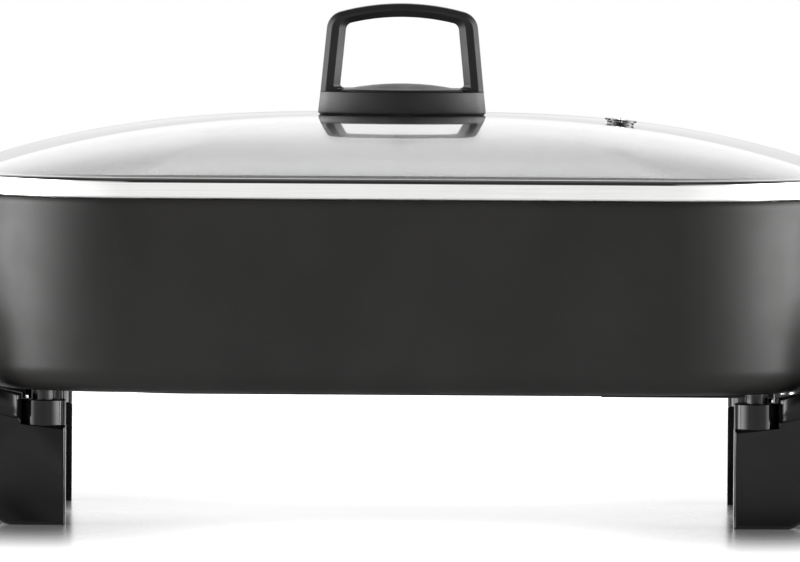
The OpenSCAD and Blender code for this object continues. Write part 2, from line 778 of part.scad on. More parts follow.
// Plan of the arms and the grip
module arm_plan() {
  outer_x = grip_out_x - grip_corner_r;
  inner_x = grip_in_x - grip_inner_r;
  outer = concat(
    [[arm_start_x, arm_front_y]],
    arc(outer_x, arm_front_y - grip_corner_r, grip_corner_r, grip_corner_r, 90, 0, arc_steps)
  );
  inner = concat(
    [[0, arm_back_y]],
    arc(inner_x, arm_back_y - grip_inner_r, grip_inner_r, grip_inner_r, 90, 0, arc_steps)
  );
  difference() {
    polygon(concat(outer, flipped(outer)));
    polygon(concat(inner, flipped(inner)));
  }
}

// Extrudes an outline drawn in X and Z by depth d behind the plane at y
module extrude_behind(y, d) {
  translate([0, y, 0]) rotate([90, 0, 0]) linear_extrude(d) children();
}

module leg() {
  difference() {
    union() {
      extrude_behind(leg_front_y, 2 * head_r) polygon(leg_outline(0));
      translate([leg_x, leg_y, head_z]) cylinder(r = head_r, h = head_h);
    }
    intersection() {
      extrude_behind(leg_front_y - leg_wall, 2 * head_r) polygon(leg_outline(leg_wall));
      translate([0, 0, leg_wall]) cube([pan_l, pan_w, head_z - 2 * leg_wall]);
    }
  }
}

module grip_unit() {
  difference() {
    union() {
      for (side = [0, 1]) mirror([0, side, 0]) leg();
      intersection() {
        linear_extrude(rim_z) arm_plan();
        extrude_behind(pan_w, 2 * pan_w) polygon(arm_outline());
      }
    }
    for (sy = [-1, 1]) translate([leg_x, sy * leg_y, -over]) {
      cylinder(r = driver_way_r, h = screw_seat_z + over);
      cylinder(r = leg_screw_r + through_gap, h = leg_h + 2 * over);
    }
  }
}

module handle_right() {
  color([0.06, 0.06, 0.065]) grip_unit();
}

module handle_left() {
  color([0.06, 0.06, 0.065]) mirror([1, 0, 0]) grip_unit();
}

module leg_spacers() {
  color([0.5, 0.5, 0.5]) at_legs() difference() {
    translate([0, 0, leg_h]) cylinder(r = spacer_r, h = spacer_h);
    translate([0, 0, leg_h - over]) cylinder(r = leg_screw_r + through_gap, h = spacer_h + 2 * over);
  }
}

module leg_screws() {
  head_low = screw_seat_z - leg_screw_head_h;
  color([0.62, 0.62, 0.62]) at_legs() translate([0, 0, head_low]) {
    cylinder(r = leg_screw_head_r, h = leg_screw_head_h);
    cylinder(r = leg_screw_r, h = pan_z + thread_depth - head_low);
  }
}

// Points around the pan's rounded rectangle with corner radius r, anticlockwise
function corner_centre(k) = [k == 0 || k == 3 ? corner_x : -corner_x, k < 2 ? corner_y : -corner_y];
function outline(r) = [
  for (k = [0:3]) each concat(
    [for (i = [0:outline_arc_steps]) corner_centre(k) + r * unit(quarter_turn * (k + i / outline_arc_steps))],
    let (
      a = corner_centre(k) + r * unit(quarter_turn * (k + 1)),
      b = corner_centre((k + 1) % 4) + r * unit(quarter_turn * (k + 1))
    ) [for (j = [1:outline_side_steps - 1]) a + (b - a) * j / outline_side_steps]
  )
];

// Height of the dome's outer face at share t of the way from its crest to its rim point p
function dome_power(p) = dome_power_x + (dome_power_y - dome_power_x) * p[1] * p[1] / (p * p);
function dome_z(p, t) = glass_rim_z + dome_rise * (1 - pow(t, dome_power(p)));

// Closed skin over a stack of rings that all have as many points
module rings(stack) {
  n = len(stack[0]);
  last = len(stack) - 1;
  polyhedron(
    points = [for (ring = stack) each ring],
    faces = concat(
      [[for (i = [0:n - 1]) i]],
      [for (k = [0:last - 1], i = [0:n - 1]) each [
        [k * n + i, (k + 1) * n + i, (k + 1) * n + (i + 1) % n],
        [k * n + i, (k + 1) * n + (i + 1) % n, k * n + (i + 1) % n]
      ]],
      [[for (i = [n - 1:-1:0]) last * n + i]]
    )
  );
}

module glass_dome() {
  rim = outline(glass_rim_r);
  dome = outline(dome_rim_r);
  last = len(dome_steps) - 1;
  rings(concat(
    [for (k = [last:-1:0]) let (t = dome_steps[k]) [for (p = dome) [p[0] * t, p[1] * t, dome_z(p, t)]]],
    [[for (p = outline(glass_rim_r - glass_bevel)) [p[0], p[1], glass_rim_z]]],
    [[for (p = rim) [p[0], p[1], glass_rim_z - glass_bevel]]],
    [[for (p = rim) [p[0], p[1], glass_under_z]]],
    [for (t = dome_steps) [for (p = dome) [p[0] * t, p[1] * t, dome_z(p, t) - glass_t]]]
  ));
}

module at_vent() {
  translate([vent_x, 0, vent_z]) rotate([0, vent_tilt, 0]) children();
}

module glass_lid() {
  color([0.85, 0.87, 0.88, 0.4]) difference() {
    glass_dome();
    translate([0, 0, washer_z - over]) cylinder(r = glass_hole_r, h = glass_t + 2 * over);
    at_vent() translate([0, 0, -vent_glass_t - over])
      cylinder(r = vent_neck_r + glass_gap, h = vent_glass_t + 2 * over);
  }
}

module lid_band() {
  color([0.8, 0.8, 0.8]) translate([0, 0, lid_z]) around(band_section());
}

module at_steam_holes() {
  for (i = [0:steam_holes - 1]) rotate(360 / steam_holes * i) translate([steam_hole_ring, 0, 0]) children();
}

module vent_eyelet() {
  eyelet_l = eyelet_top - eyelet_low;
  color([0.85, 0.85, 0.85]) at_vent() difference() {
    union() {
      translate([0, 0, vent_clear]) cylinder(r = vent_flange_r, h = vent_flange_t);
      translate([0, 0, eyelet_low]) cylinder(r = vent_neck_r, h = eyelet_l);
      translate([0, 0, eyelet_low]) cylinder(r = vent_flange_r, h = vent_flange_t);
    }
    translate([0, 0, eyelet_low - over]) {
      at_steam_holes() cylinder(r = steam_hole_r, h = eyelet_l + 2 * over);
      cylinder(r = rivet_r + press_gap, h = eyelet_l + 2 * over);
    }
  }
}

module vent_disc() {
  color([0.85, 0.85, 0.85]) at_vent() translate([0, 0, disc_z]) difference() {
    cylinder(r = vent_disc_r, h = vent_disc_t);
    translate([0, 0, -over]) {
      at_steam_holes() cylinder(r = steam_hole_r, h = vent_disc_t + 2 * over);
      cylinder(r = rivet_r + rivet_gap, h = vent_disc_t + 2 * over);
    }
  }
}

module vent_rivet() {
  color([0.75, 0.75, 0.75]) at_vent() {
    translate([0, 0, rivet_head_z]) cylinder(r = rivet_head_r, h = rivet_head_h);
    translate([0, 0, rivet_low]) cylinder(r = rivet_r, h = rivet_head_z - rivet_low + rivet_head_h);
    translate([0, 0, rivet_low]) cylinder(r = rivet_foot_r, h = rivet_head_h);
  }
}

// Outline of the lid handle's loop from the front, right half, from its foot to its crown
function loop_side() = concat(
  [[handle_foot_w / 2, handle_z]],
  arc(shoulder_x, shoulder_z, shoulder_r, shoulder_r, leg_taper, shoulder_angle, arc_steps),
  arc(0, arch_centre_z, handle_arch_r, handle_arch_r, shoulder_angle + arch_step, 90, edge_steps)
);

// Outline of the opening in the loop, right half
function opening_side() = concat(
  [[opening_foot_x, base_top_z]],
  arc(loop_inner_x, loop_inner_z, loop_inner_r, loop_inner_r, leg_taper, inner_angle, edge_steps),
  arc(0, arch_centre_z, arch_inner_r, arch_inner_r, inner_angle + arch_step, 90, edge_steps)
);

function whole(side) = concat(side, [for (p = mirrored(side)) if (p[0] < -eps) p]);

// Extrudes an outline drawn in X and Z by depth d, centred on Y
module front_extrude(d) {
  extrude_behind(d / 2, d) children();
}

// Plan of the handle's base, bulging to front and back, drawn in by an inset
function base_plan(inset) = let (
    r = base_arc_r - inset,
    cy = base_d / 2 - base_arc_r,
    half = handle_foot_w / 2 - inset,
    front = arc(0, cy, r, r, 90 - base_arc_angle, 90 + base_arc_angle, bulge_steps),
    upper = concat([[half, loop_d / 2]], front, [[-half, loop_d / 2]])
  ) concat(upper, flipped(upper));

module lid_handle() {
  color([0.17, 0.17, 0.175]) difference() {
    union() {
      difference() {
        front_extrude(loop_d) polygon(whole(loop_side()));
        front_extrude(loop_d + 2 * over) polygon(whole(opening_side()));
      }
      intersection() {
        translate([0, 0, handle_z]) linear_extrude(base_h) polygon(base_plan(0));
        front_extrude(base_d + 2 * over) polygon(whole(loop_side()));
      }
    }
    translate([0, 0, crest_z]) {
      cylinder(r = gasket_r + through_gap, h = gasket_t);
      cylinder(r = handle_screw_r + screw_gap, h = gasket_t + handle_thread + hole_run);
    }
  }
}

module handle_cap() {
  color([0.17, 0.17, 0.175]) {
    translate([0, 0, base_top_z]) linear_extrude(shadow_h) intersection() {
      polygon(base_plan(pedestal_setback));
      square([2 * (cap_half_w - pedestal_setback), base_d], center = true);
    }
    intersection() {
      translate([0, 0, cap_z]) linear_extrude(cap_h) intersection() {
        polygon(base_plan(cap_setback));
        square([2 * cap_half_w, base_d], center = true);
      }
      translate([0, 0, cap_top_z - cap_arch_r]) front_extrude(base_d) circle(cap_arch_r, $fn = 360);
      translate([-base_d, 0, cap_top_z - cap_cross_r]) rotate([0, 90, 0])
        cylinder(r = cap_cross_r, h = 2 * base_d, $fn = 180);
    }
  }
}

module washer(r, t, z) {
  translate([0, 0, z]) difference() {
    cylinder(r = r, h = t);
    translate([0, 0, -over]) cylinder(r = handle_screw_r + through_gap, h = t + 2 * over);
  }
}

module handle_gasket() {
  color([0.3, 0.3, 0.3]) washer(gasket_r, gasket_t, crest_z);
}

module glass_washer() {
  color([0.3, 0.3, 0.3]) washer(washer_r, washer_t, washer_z - washer_t);
}

module steel_washer() {
  color([0.75, 0.75, 0.75]) washer(washer_r, washer_t, washer_z - 2 * washer_t);
}

module handle_screw() {
  head_low = washer_z - 2 * washer_t - handle_screw_head_h;
  color([0.75, 0.75, 0.75]) translate([0, 0, head_low]) {
    cylinder(r = handle_screw_head_r, h = handle_screw_head_h);
    cylinder(r = handle_screw_r, h = crest_z + gasket_t + handle_thread - head_low);
  }
}

// Side outline of the probe's body in X and Z, drawn in by an inset
function body_outline(inset) = let (
    run = inset / cos(face_tilt),
    low_z = face_low_z - (run - inset) / face_lean
  ) [
    [body_x + inset, body_z + inset],
    [body_end_x - inset, body_z + inset],
    [body_end_x - inset, max(low_z, body_z + inset + eps)],
    [body_end_x - run - face_lean * (body_top_z - inset - face_low_z), body_top_z - inset],
    [body_x + inset, body_top_z - inset]
  ];

function rounded_plan(x0, x1, half, r) = concat(
  arc(x1 - r, half - r, r, r, 0, 90, edge_steps),
  arc(x0 + r, half - r, r, r, 90, 180, edge_steps),
  arc(x0 + r, r - half, r, r, 180, 270, edge_steps),
  arc(x1 - r, r - half, r, r, 270, 360, edge_steps)
);

module probe_solid(inset) {
  intersection() {
    front_extrude(body_w + 2 * over) polygon(body_outline(inset));
    linear_extrude(rim_z)
      polygon(rounded_plan(body_x + inset, body_end_x - inset, body_w / 2 - inset, body_corner_r - inset));
  }
}

module at_posts() {
  for (px = [post_front_x, post_rear_x], sy = [-1, 1]) translate([px, sy * post_y, 0]) children();
}

// Places things on the dial's axis: local Z points out of the sloping face
module at_dial() {
  translate([face_mid_x, 0, face_mid_z]) rotate([0, 90 - face_tilt, 0]) children();
}

module at_lens() {
  translate([lens_x, lens_y, 0]) children();
}

module at_sleeves(x) {
  for (sy = [-1, 1]) translate([x, sy * pin_half_pitch, pin_z]) rotate([0, 90, 0]) children();
}

module probe_body_upper() {
  color([0.07, 0.07, 0.075]) difference() {
    union() {
      difference() {
        probe_solid(0);
        probe_solid(shell_t);
        translate([0, -body_w, 0]) cube([2 * pan_l, 2 * body_w, split_z]);
      }
      translate([nose_x, -nose_half_w, nose_z]) cube([nose_l + shell_t, nose_w, nose_h]);
      at_posts() translate([0, 0, split_z]) cylinder(r = post_r, h = body_screw_depth + over);
    }
    translate([body_x - over, 0, rod_z]) rotate([0, 90, 0])
      cylinder(r = rod_r + screw_gap, h = shell_t + 2 * over);
    at_sleeves(nose_x - over) cylinder(r = sleeve_r + screw_gap, h = nose_l + shell_t + 2 * over);
    at_posts() translate([0, 0, split_z - over])
      cylinder(r = body_screw_r + screw_gap, h = body_screw_depth + over);
    at_dial() translate([0, 0, -2 * shell_t]) cylinder(r = shaft_hole_r, h = 3 * shell_t);
    at_lens() translate([0, 0, body_top_z - 2 * shell_t]) cylinder(r = lens_r + screw_gap, h = 3 * shell_t);
  }
}

module trigger_ears() {
  root = shell_t / 2;
  for (y = [ear_in_y + ear_t, -ear_in_y]) extrude_behind(y, ear_t) difference() {
    translate([pivot_abs_x - eye_r, body_z + root]) square([2 * eye_r, pivot_h + eye_r - root]);
    translate([pivot_abs_x, pivot_z]) circle(pivot_r + screw_gap);
  }
}

module probe_body_lower() {
  slot_x = body_x + shell_t + slot_margin;
  slot_end_x = pivot_abs_x + eye_r + slot_end_gap;
  color([0.07, 0.07, 0.075]) difference() {
    union() {
      difference() {
        probe_solid(0);
        probe_solid(shell_t);
        translate([0, -body_w, split_z]) cube([2 * pan_l, 2 * body_w, pan_h]);
      }
      at_posts() translate([0, 0, body_z + shell_t / 2]) cylinder(r = post_r, h = split_h - shell_t / 2);
      trigger_ears();
    }
    translate([slot_x, -ear_in_y, body_z - over])
      cube([slot_end_x - slot_x, 2 * ear_in_y, shell_t + 2 * over]);
    at_posts() translate([0, 0, body_z - over]) {
      cylinder(r = body_screw_head_r + through_gap, h = body_screw_set + body_screw_head_h + over);
      cylinder(r = body_screw_r + through_gap, h = split_h + 2 * over);
    }
    at_dial() translate([0, 0, -2 * shell_t]) cylinder(r = shaft_hole_r, h = 3 * shell_t);
    translate([gland_x, body_w / 2 + over, gland_z]) rotate([90, 0, 0])
      cylinder(r = gland_r + screw_gap, h = shell_t + 2 * over);
  }
}

module body_screws() {
  color([0.7, 0.7, 0.7]) at_posts() translate([0, 0, body_z + body_screw_set]) {
    cylinder(r = body_screw_head_r, h = body_screw_head_h);
    cylinder(r = body_screw_r, h = split_h + body_screw_depth - body_screw_set - hole_run);
  }
}

module thermostat() {
  color([0.86, 0.84, 0.78]) difference() {
    translate([thermostat_x, -thermostat_half_w, thermostat_z])
      cube([thermostat_l, 2 * thermostat_half_w, thermostat_h]);
    translate([thermostat_x - over, 0, rod_z]) rotate([0, 90, 0])
      cylinder(r = rod_r + screw_gap, h = rod_end_x - thermostat_x + over + hole_run);
    at_dial() translate([0, 0, -shaft_l - shaft_end_gap]) cylinder(r = shaft_r + shaft_gap, h = shaft_l);
  }
}

module probe_rod() {
  rod_l = rod_end_x - rod_tip_x;
  color([0.78, 0.78, 0.77]) translate([rod_tip_x, 0, rod_z]) rotate([0, 90, 0]) rotate_extrude()
    polygon(concat(
      [[0, 0]],
      arc(rod_r - rod_tip_round, rod_tip_round, rod_tip_round, rod_tip_round, -90, 0, edge_steps),
      [[rod_r, rod_l], [0, rod_l]]
    ));
}

module contact_sleeves() {
  sleeve_l = nose_l + shell_t;
  color([0.8, 0.68, 0.4]) at_sleeves(nose_x + sleeve_set) difference() {
    cylinder(r = sleeve_r, h = sleeve_l);
    translate([0, 0, -over]) cylinder(r = sleeve_in_r, h = sleeve_l + 2 * over);
  }
}

module cord_gland() {
  out_y = body_w / 2 + gland_flange_t;
  color([0.08, 0.08, 0.08]) translate([gland_x, out_y, gland_z]) rotate([90, 0, 0]) difference() {
    union() {
      cylinder(r = gland_r, h = gland_l);
      cylinder(r = gland_flange_r, h = gland_flange_t);
      translate([0, 0, gland_flange_t + shell_t]) cylinder(r = gland_ring_r, h = gland_ring_t);
    }
    translate([0, 0, -over]) cylinder(r = cord_way_r, h = gland_l + 2 * over);
  }
}

module neon_lamp() {
  top = body_top_z - shell_t - lens_flange_t - lamp_gap;
  color([0.9, 0.5, 0.3, 0.6]) at_lens() translate([0, 0, top - lamp_l]) cylinder(r = lamp_r, h = lamp_l);
}

module indicator_lens() {
  color([0.85, 0.15, 0.1, 0.8]) at_lens() {
    translate([0, 0, body_top_z - shell_t]) cylinder(r = lens_r, h = shell_t + lens_proud);
    translate([0, 0, body_top_z - shell_t - lens_flange_t]) cylinder(r = lens_flange_r, h = lens_flange_t);
  }
}

module control_dial() {
  color([0.07, 0.07, 0.075]) at_dial() difference() {
    union() {
      translate([0, 0, dial_gap]) cylinder(r = dial_r, h = dial_skirt_t);
      translate([0, 0, skirt_top]) cylinder(r = knob_r, h = knob_h);
      intersection() {
        translate([0, 0, knob_top]) cylinder(r = knob_r, h = finger_bar_h);
        translate([-knob_r, -finger_bar_w / 2, knob_top]) cube([2 * knob_r, finger_bar_w, finger_bar_h]);
      }
    }
    cylinder(r = shaft_r + press_gap, h = dial_gap + shaft_in_dial);
  }
}

module dial_shaft() {
  color([0.75, 0.75, 0.75]) at_dial() translate([0, 0, -shaft_l])
    cylinder(r = shaft_r, h = shaft_l + dial_gap + shaft_in_dial - hole_run);
}

module release_trigger() {
  heel_z = blade_root_z - trigger_t - blade_heel;
  r = blade_tip_r;
  color([0.07, 0.07, 0.075]) front_extrude(trigger_w) difference() {
    union() {
      polygon(concat(
        [[pivot_abs_x - eye_r, pivot_z], [pivot_abs_x - eye_r, heel_z], [blade_root_x - over, heel_z]],
        [[blade_tip_x - 2 * r, blade_tip_z - trigger_t]],
        arc(blade_tip_x - r, blade_tip_z - trigger_t / 2, r, trigger_t / 2, -90, 90, foot_steps),
        [[blade_root_x, blade_root_z], [pivot_abs_x + eye_r, blade_root_z + blade_heel]],
        [[pivot_abs_x + eye_r, pivot_z]]
      ));
      translate([pivot_abs_x, pivot_z]) circle(eye_r);
    }
    translate([pivot_abs_x, pivot_z]) circle(pivot_r + pivot_gap);
  }
}

module trigger_pin() {
  color([0.75, 0.75, 0.75]) translate([pivot_abs_x, 0, pivot_z]) rotate([90, 0, 0])
    cylinder(r = pivot_r, h = 2 * (ear_in_y + ear_t), center = true);
}

// Ring of wire across the coil at share u of its height
function spring_ring(u) = let (
    a = 360 * spring_turns * u,
    z = spring_foot_z + spring_wire_r + (spring_top_z - spring_foot_z - 2 * spring_wire_r) * u
  ) [
    for (j = [spring_sides - 1:-1:0])
      let (b = 360 / spring_sides * j, r = spring_r + spring_wire_r * cos(b))
        [spring_abs_x + r * cos(a), r * sin(a), z + spring_wire_r * sin(b)]
  ];

module trigger_spring() {
  turns = spring_rings * spring_turns;
  color([0.75, 0.75, 0.75]) rings([for (i = [0:turns]) spring_ring(i / turns)]);
}

pan_body();
heating_element();
terminal_pins();
inlet_shroud();
shroud_screws();
handle_left();
handle_right();
leg_spacers();
leg_screws();
glass_lid();
lid_band();
vent_eyelet();
vent_disc();
vent_rivet();
lid_handle();
handle_cap();
handle_gasket();
glass_washer();
steel_washer();
handle_screw();
probe_body_upper();
probe_body_lower();
body_screws();
thermostat();
probe_rod();
contact_sleeves();
cord_gland();
neon_lamp();
indicator_lens();
control_dial();
dial_shaft();
release_trigger();
trigger_pin();
trigger_spring();
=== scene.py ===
"""Electric skillet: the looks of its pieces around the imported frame. Metres, +Z up, -Y to the front."""
import json
import math

import bmesh
import bpy
import numpy as np
from mathutils import Matrix, Vector


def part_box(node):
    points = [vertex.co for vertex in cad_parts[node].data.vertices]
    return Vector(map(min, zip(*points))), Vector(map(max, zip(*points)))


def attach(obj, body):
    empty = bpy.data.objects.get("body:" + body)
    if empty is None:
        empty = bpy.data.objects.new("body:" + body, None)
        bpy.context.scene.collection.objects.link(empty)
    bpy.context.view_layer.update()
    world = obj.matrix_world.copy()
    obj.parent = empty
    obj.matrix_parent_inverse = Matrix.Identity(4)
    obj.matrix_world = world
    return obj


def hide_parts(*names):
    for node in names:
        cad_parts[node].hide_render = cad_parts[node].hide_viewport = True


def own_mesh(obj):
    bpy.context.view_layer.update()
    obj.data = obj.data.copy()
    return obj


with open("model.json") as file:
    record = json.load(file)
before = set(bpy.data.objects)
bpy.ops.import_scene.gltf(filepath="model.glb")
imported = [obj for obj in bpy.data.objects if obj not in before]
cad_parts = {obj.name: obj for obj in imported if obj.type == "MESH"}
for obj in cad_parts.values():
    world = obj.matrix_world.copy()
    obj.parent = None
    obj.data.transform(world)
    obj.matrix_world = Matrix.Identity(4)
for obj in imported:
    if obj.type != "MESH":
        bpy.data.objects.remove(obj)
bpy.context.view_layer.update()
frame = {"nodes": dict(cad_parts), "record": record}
MM = 0.001

# ---------------------------------------------------------------- sizes

_, pan_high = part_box("pan_body")
band_low, band_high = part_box("lid_band")
_, glass_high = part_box("glass_lid")
_, unit_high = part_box("handle_right")
spacer_low, spacer_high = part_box("leg_spacers")
loop_low, loop_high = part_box("lid_handle")
cap_low, cap_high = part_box("handle_cap")
element_low, element_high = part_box("heating_element")

# Meshes
MERGE_DIST = 1e-6
CAD_MERGE_DIST = 2e-6
CAD_FLAT_ANGLE = 0.8
FLAT_WEIGHT = 90
CUT_SPARE = 1 * MM

# Pan
CORNER_R = 80 * MM
CORNER_X = pan_high.x - CORNER_R
CORNER_Y = pan_high.y - CORNER_R
RIM_Z = pan_high.z
PAN_Z = spacer_high.z
PAN_H = RIM_Z - PAN_Z
WALL_LEAN = 6 * MM
WALL_T = 3 * MM
RIM_T = 4 * MM
RIM_ROUND_H = 4 * MM
RIM_ROUND_T = 2 * MM
RIM_EDGE_R = 0.8 * MM
FLOOR_T = 6 * MM
UNDER_R = 13 * MM
INSIDE_R = 10 * MM
INSIDE_LEAN = 3
LEAN_ANGLE = math.degrees(math.atan(WALL_LEAN / (PAN_H - UNDER_R - RIM_ROUND_H)))
FOOT_OUTLINE_R = CORNER_R - WALL_LEAN

# Element ridge and probe boss under the pan
ELEMENT_R = 3.3 * MM
ELEMENT_Z = element_low.z + ELEMENT_R
ELEMENT_HALF_L = -element_low.x - ELEMENT_R
ELEMENT_HALF_W = element_high.y - ELEMENT_R
ELEMENT_BEND_R = 40 * MM
PIN_HALF_PITCH = 11 * MM
ELEMENT_TURN_R = ELEMENT_HALF_W - ELEMENT_BEND_R - PIN_HALF_PITCH
ELEMENT_END_X = element_high.x
RIDGE_HALF_W = 7 * MM
RIDGE_H = 3.8 * MM
RIDGE_EDGE_R = 0.8 * MM
GROOVE_R = 3.4 * MM
BOSS_START_X = 95 * MM
BOSS_HALF_W = 7 * MM
BOSS_EDGE_R = 2 * MM
BOSS_WALL = 1.3 * MM
BOSS_END_WALL = 4 * MM
BORE_R = 3.1 * MM
ROD_Z = 60.2 * MM
SINK = 0.5 * MM

# Lid
LOCATE_H = 4 * MM
LOCATE_GAP = 0.8 * MM
LOCATE_R = CORNER_R - RIM_T - LOCATE_GAP
BAND_Z = band_low.z + LOCATE_H
BAND_H = band_high.z - BAND_Z
BAND_T = 0.8 * MM
BAND_EDGE_R = 2.3 * MM
BAND_FOOT_R = 0.7 * MM
BAND_LIP = 3 * MM
GLASS_T = 4 * MM
GLASS_GAP = 0.2 * MM
GLASS_EDGE = 0.8 * MM
GLASS_RIM_Z = band_high.z - BAND_T
GLASS_RIM_R = CORNER_R - BAND_T - GLASS_GAP
DOME_RIM_R = CORNER_R - BAND_LIP - GLASS_GAP
DOME_RISE = glass_high.z - GLASS_RIM_Z
DOME_STEPS = 24
DOME_RINGS = 40
DOME_REACH = 0.95
SCREW_HOLE_R = 3.5 * MM
# The dome falls off with these powers of the distance from its crest, along X and along Y
POWER_X = 2.7
POWER_Y = 3.5

# Legs and side grips
SPACER_R = 5.5 * MM
LEG_X = spacer_high.x - SPACER_R
LEG_Y = spacer_high.y - SPACER_R
LEG_H = spacer_low.z
LEG_WALL = 3.5 * MM
LEG_EDGE_R = 1.8 * MM
HEAD_R = 10.5 * MM
HEAD_H = 12.5 * MM
HEAD_Z = LEG_H - HEAD_H
HEAD_EDGE_R = 0.7 * MM
HEAD_OVERLAP = 1 * MM
LEG_INNER_X = LEG_X - HEAD_R
LEG_FRONT_Y = LEG_Y + HEAD_R
FOOT_L = 25 * MM
FOOT_CORNER_R = 8 * MM
SWEEP_R = 80 * MM
FOOT_HEADING = 30
SWEEP_HEADING = 68
SEAT_DROP = 8.5 * MM
SCREW_SEAT_Z = LEG_H - SEAT_DROP
DRIVER_WAY_R = 5.4 * MM
ARM_T = 16.5 * MM
ARM_FRONT_Y = unit_high.y
ARM_BACK_Y = ARM_FRONT_Y - ARM_T
ARM_OVERLAP = 0.5 * MM
ARM_START_X = LEG_X + HEAD_R - ARM_OVERLAP
ARM_RISE = 4.5 * MM
ARM_TOP_Z = LEG_H + ARM_RISE
ARM_LIFT = 4 * MM
ARM_LOW_Z = HEAD_Z + ARM_LIFT
ARM_STEPS = 16
ARM_CROWDING = 1.5
GRIP_OUT_X = unit_high.x
GRIP_T = 18 * MM
GRIP_IN_X = GRIP_OUT_X - GRIP_T
GRIP_TOP_Z = unit_high.z
GRIP_H = 26 * MM
GRIP_Z = GRIP_TOP_Z - GRIP_H
GRIP_CORNER_R = 42 * MM
GRIP_CORNER_STEPS = 20
GRIP_STEPS = 6
SWELL_START_X = ARM_START_X + 15 * MM
ROOT_EDGE_MM = 1.2
SWELL_EDGE_MM = 6.8
EDGE_SHARE = 0.49
ROOT_END_R = 0.8 * MM
ROOT_SETBACK = 5.5 * MM
ROOT_REACH = 5.5 * MM
WEB_REACH = 24 * MM
WEB_RISE = 8 * MM
WEB_ROOT = 6 * MM
WEB_DROP = 4 * MM

# Lid handle
HANDLE_Z = loop_low.z
HANDLE_TOP_Z = loop_high.z
FOOT_HALF_W = loop_high.x
LOOP_LEAN = 3.8 * MM
TOP_HALF_W = FOOT_HALF_W - LOOP_LEAN
ARCH_R = 110 * MM
SHOULDER_R = 9 * MM
BAR_T = 6.2 * MM
LOOP_LEG_W = 9.1 * MM
INNER_R = 3.5 * MM
LOOP_D = 14 * MM
LOOP_STEPS = 16
LOOP_SKIP = 0.6
LOOP_CHAMFER = 2.4 * MM
LOOP_INNER_CHAMFER = 3.3 * MM
LOOP_CHAMFER_DEPTH = 1.5 * MM
LOOP_INNER_DEPTH = 2.3 * MM
LOOP_EDGE_R = 0.4 * MM
LOOP_FILLET_R = 2.0 * MM
FILLET_STEPS = 6
BASE_H = 9.2 * MM
BASE_D = 44 * MM
BASE_END_D = 20 * MM
BASE_END_CUT = 2.5 * MM
BASE_STEPS = 32
BASE_LIFT = 1.2 * MM
FOOT_LOW_EDGE = 1.6 * MM
FOOT_TOP_EDGE = 0.6 * MM
GLASS_SEAT = 0.05 * MM
CAP_SETBACK = 1.2 * MM
CAP_GAP = 0.1 * MM
CAP_ARCH_DROP = 2.2 * MM
CAP_CROSS_R = 62 * MM
CAP_EDGE_R = 0.6 * MM
CAP_RINGS = (0.85, 0.7, 0.5, 0.3, 0.12)
SHADOW_H = 0.8 * MM
PEDESTAL_SETBACK = 2.4 * MM
PEDESTAL_OVERLAP = 0.2 * MM

# Temperature dial
SKIRT_TOP = 3.8 * MM
DIAL_SWEEP = 270
MARKS = 10
MARK_END_R = 17.8 * MM
MARK_L = 2.2 * MM
FIRST_MARK_L = 3.6 * MM
MARK_W = 0.8 * MM
MARK_H = 0.35 * MM
MARK_EDGE_R = 0.1 * MM

# Return spring of the release trigger
SPRING_WIRE_R = 0.4 * MM
SPRING_TURNS = 4
SPRING_TURN_STEPS = 32

# ---------------------------------------------------------------- mesh helpers


def arc(cx, cy, rx, ry, a0, a1, n):
    """Points on an ellipse's arc from a0 to a1 degrees."""
    angles = [math.radians(a0 + (a1 - a0) * i / n) for i in range(n + 1)]
    return [(cx + rx * math.cos(a), cy + ry * math.sin(a)) for a in angles]


def circle(cx, cy, r, n):
    return arc(cx, cy, r, r, 0, 360, n)[:-1]


def unit(degrees):
    return Vector((math.cos(math.radians(degrees)), math.sin(math.radians(degrees))))


def new_piece(name, bm, angle=35):
    """An object from a bmesh, smooth but for edges sharper than angle degrees."""
    bmesh.ops.remove_doubles(bm, verts=bm.verts, dist=MERGE_DIST)
    bmesh.ops.recalc_face_normals(bm, faces=bm.faces)
    mesh = bpy.data.meshes.new(name)
    bm.to_mesh(mesh)
    bm.free()
    mesh.shade_smooth()
    mesh.set_sharp_from_angle(angle=math.radians(angle))
    piece = bpy.data.objects.new(name, mesh)
    bpy.context.scene.collection.objects.link(piece)
    return piece


def grid_faces(bm, rows, closed=False):
    """Quads between rings of points that all have as many points."""
    verts = [[bm.verts.new(p) for p in row] for row in rows]
    last = len(verts) if closed else len(verts) - 1
    count = len(verts[0])
    for k in range(last):
        a, b = verts[k], verts[(k + 1) % len(verts)]
        for i in range(count):
            j = (i + 1) % count
            bm.faces.new((a[i], a[j], b[j], b[i]))
    return verts


def capped(rows, bm=None):
    """A bmesh of quads between rings of points, with a face over each end."""
    if bm is None:
        bm = bmesh.new()
    verts = grid_faces(bm, rows)
    bm.faces.new(list(reversed(verts[0])))
    bm.faces.new(verts[-1])
    return bm


def prism(outline, z0, z1):
    """A bmesh prism from an outline in X and Y, between two heights."""
    return capped([[(x, y, z) for x, y in outline] for z in (z0, z1)])


def cylinder(x, y, z0, z1, r, steps=64):
    return prism(circle(x, y, r, steps), z0, z1)


def along(path, section):
    """A bmesh of a closed section of (across, height) points, swept along a level path."""
    rows = []
    for i, p in enumerate(path):
        a = Vector(path[max(i - 1, 0)])
        b = Vector(path[min(i + 1, len(path) - 1)])
        way = (b - a).normalized()
        side = Vector((way.y, -way.x))
        rows.append([(*(Vector(p) + side * x), z) for x, z in section])
    return capped(rows)


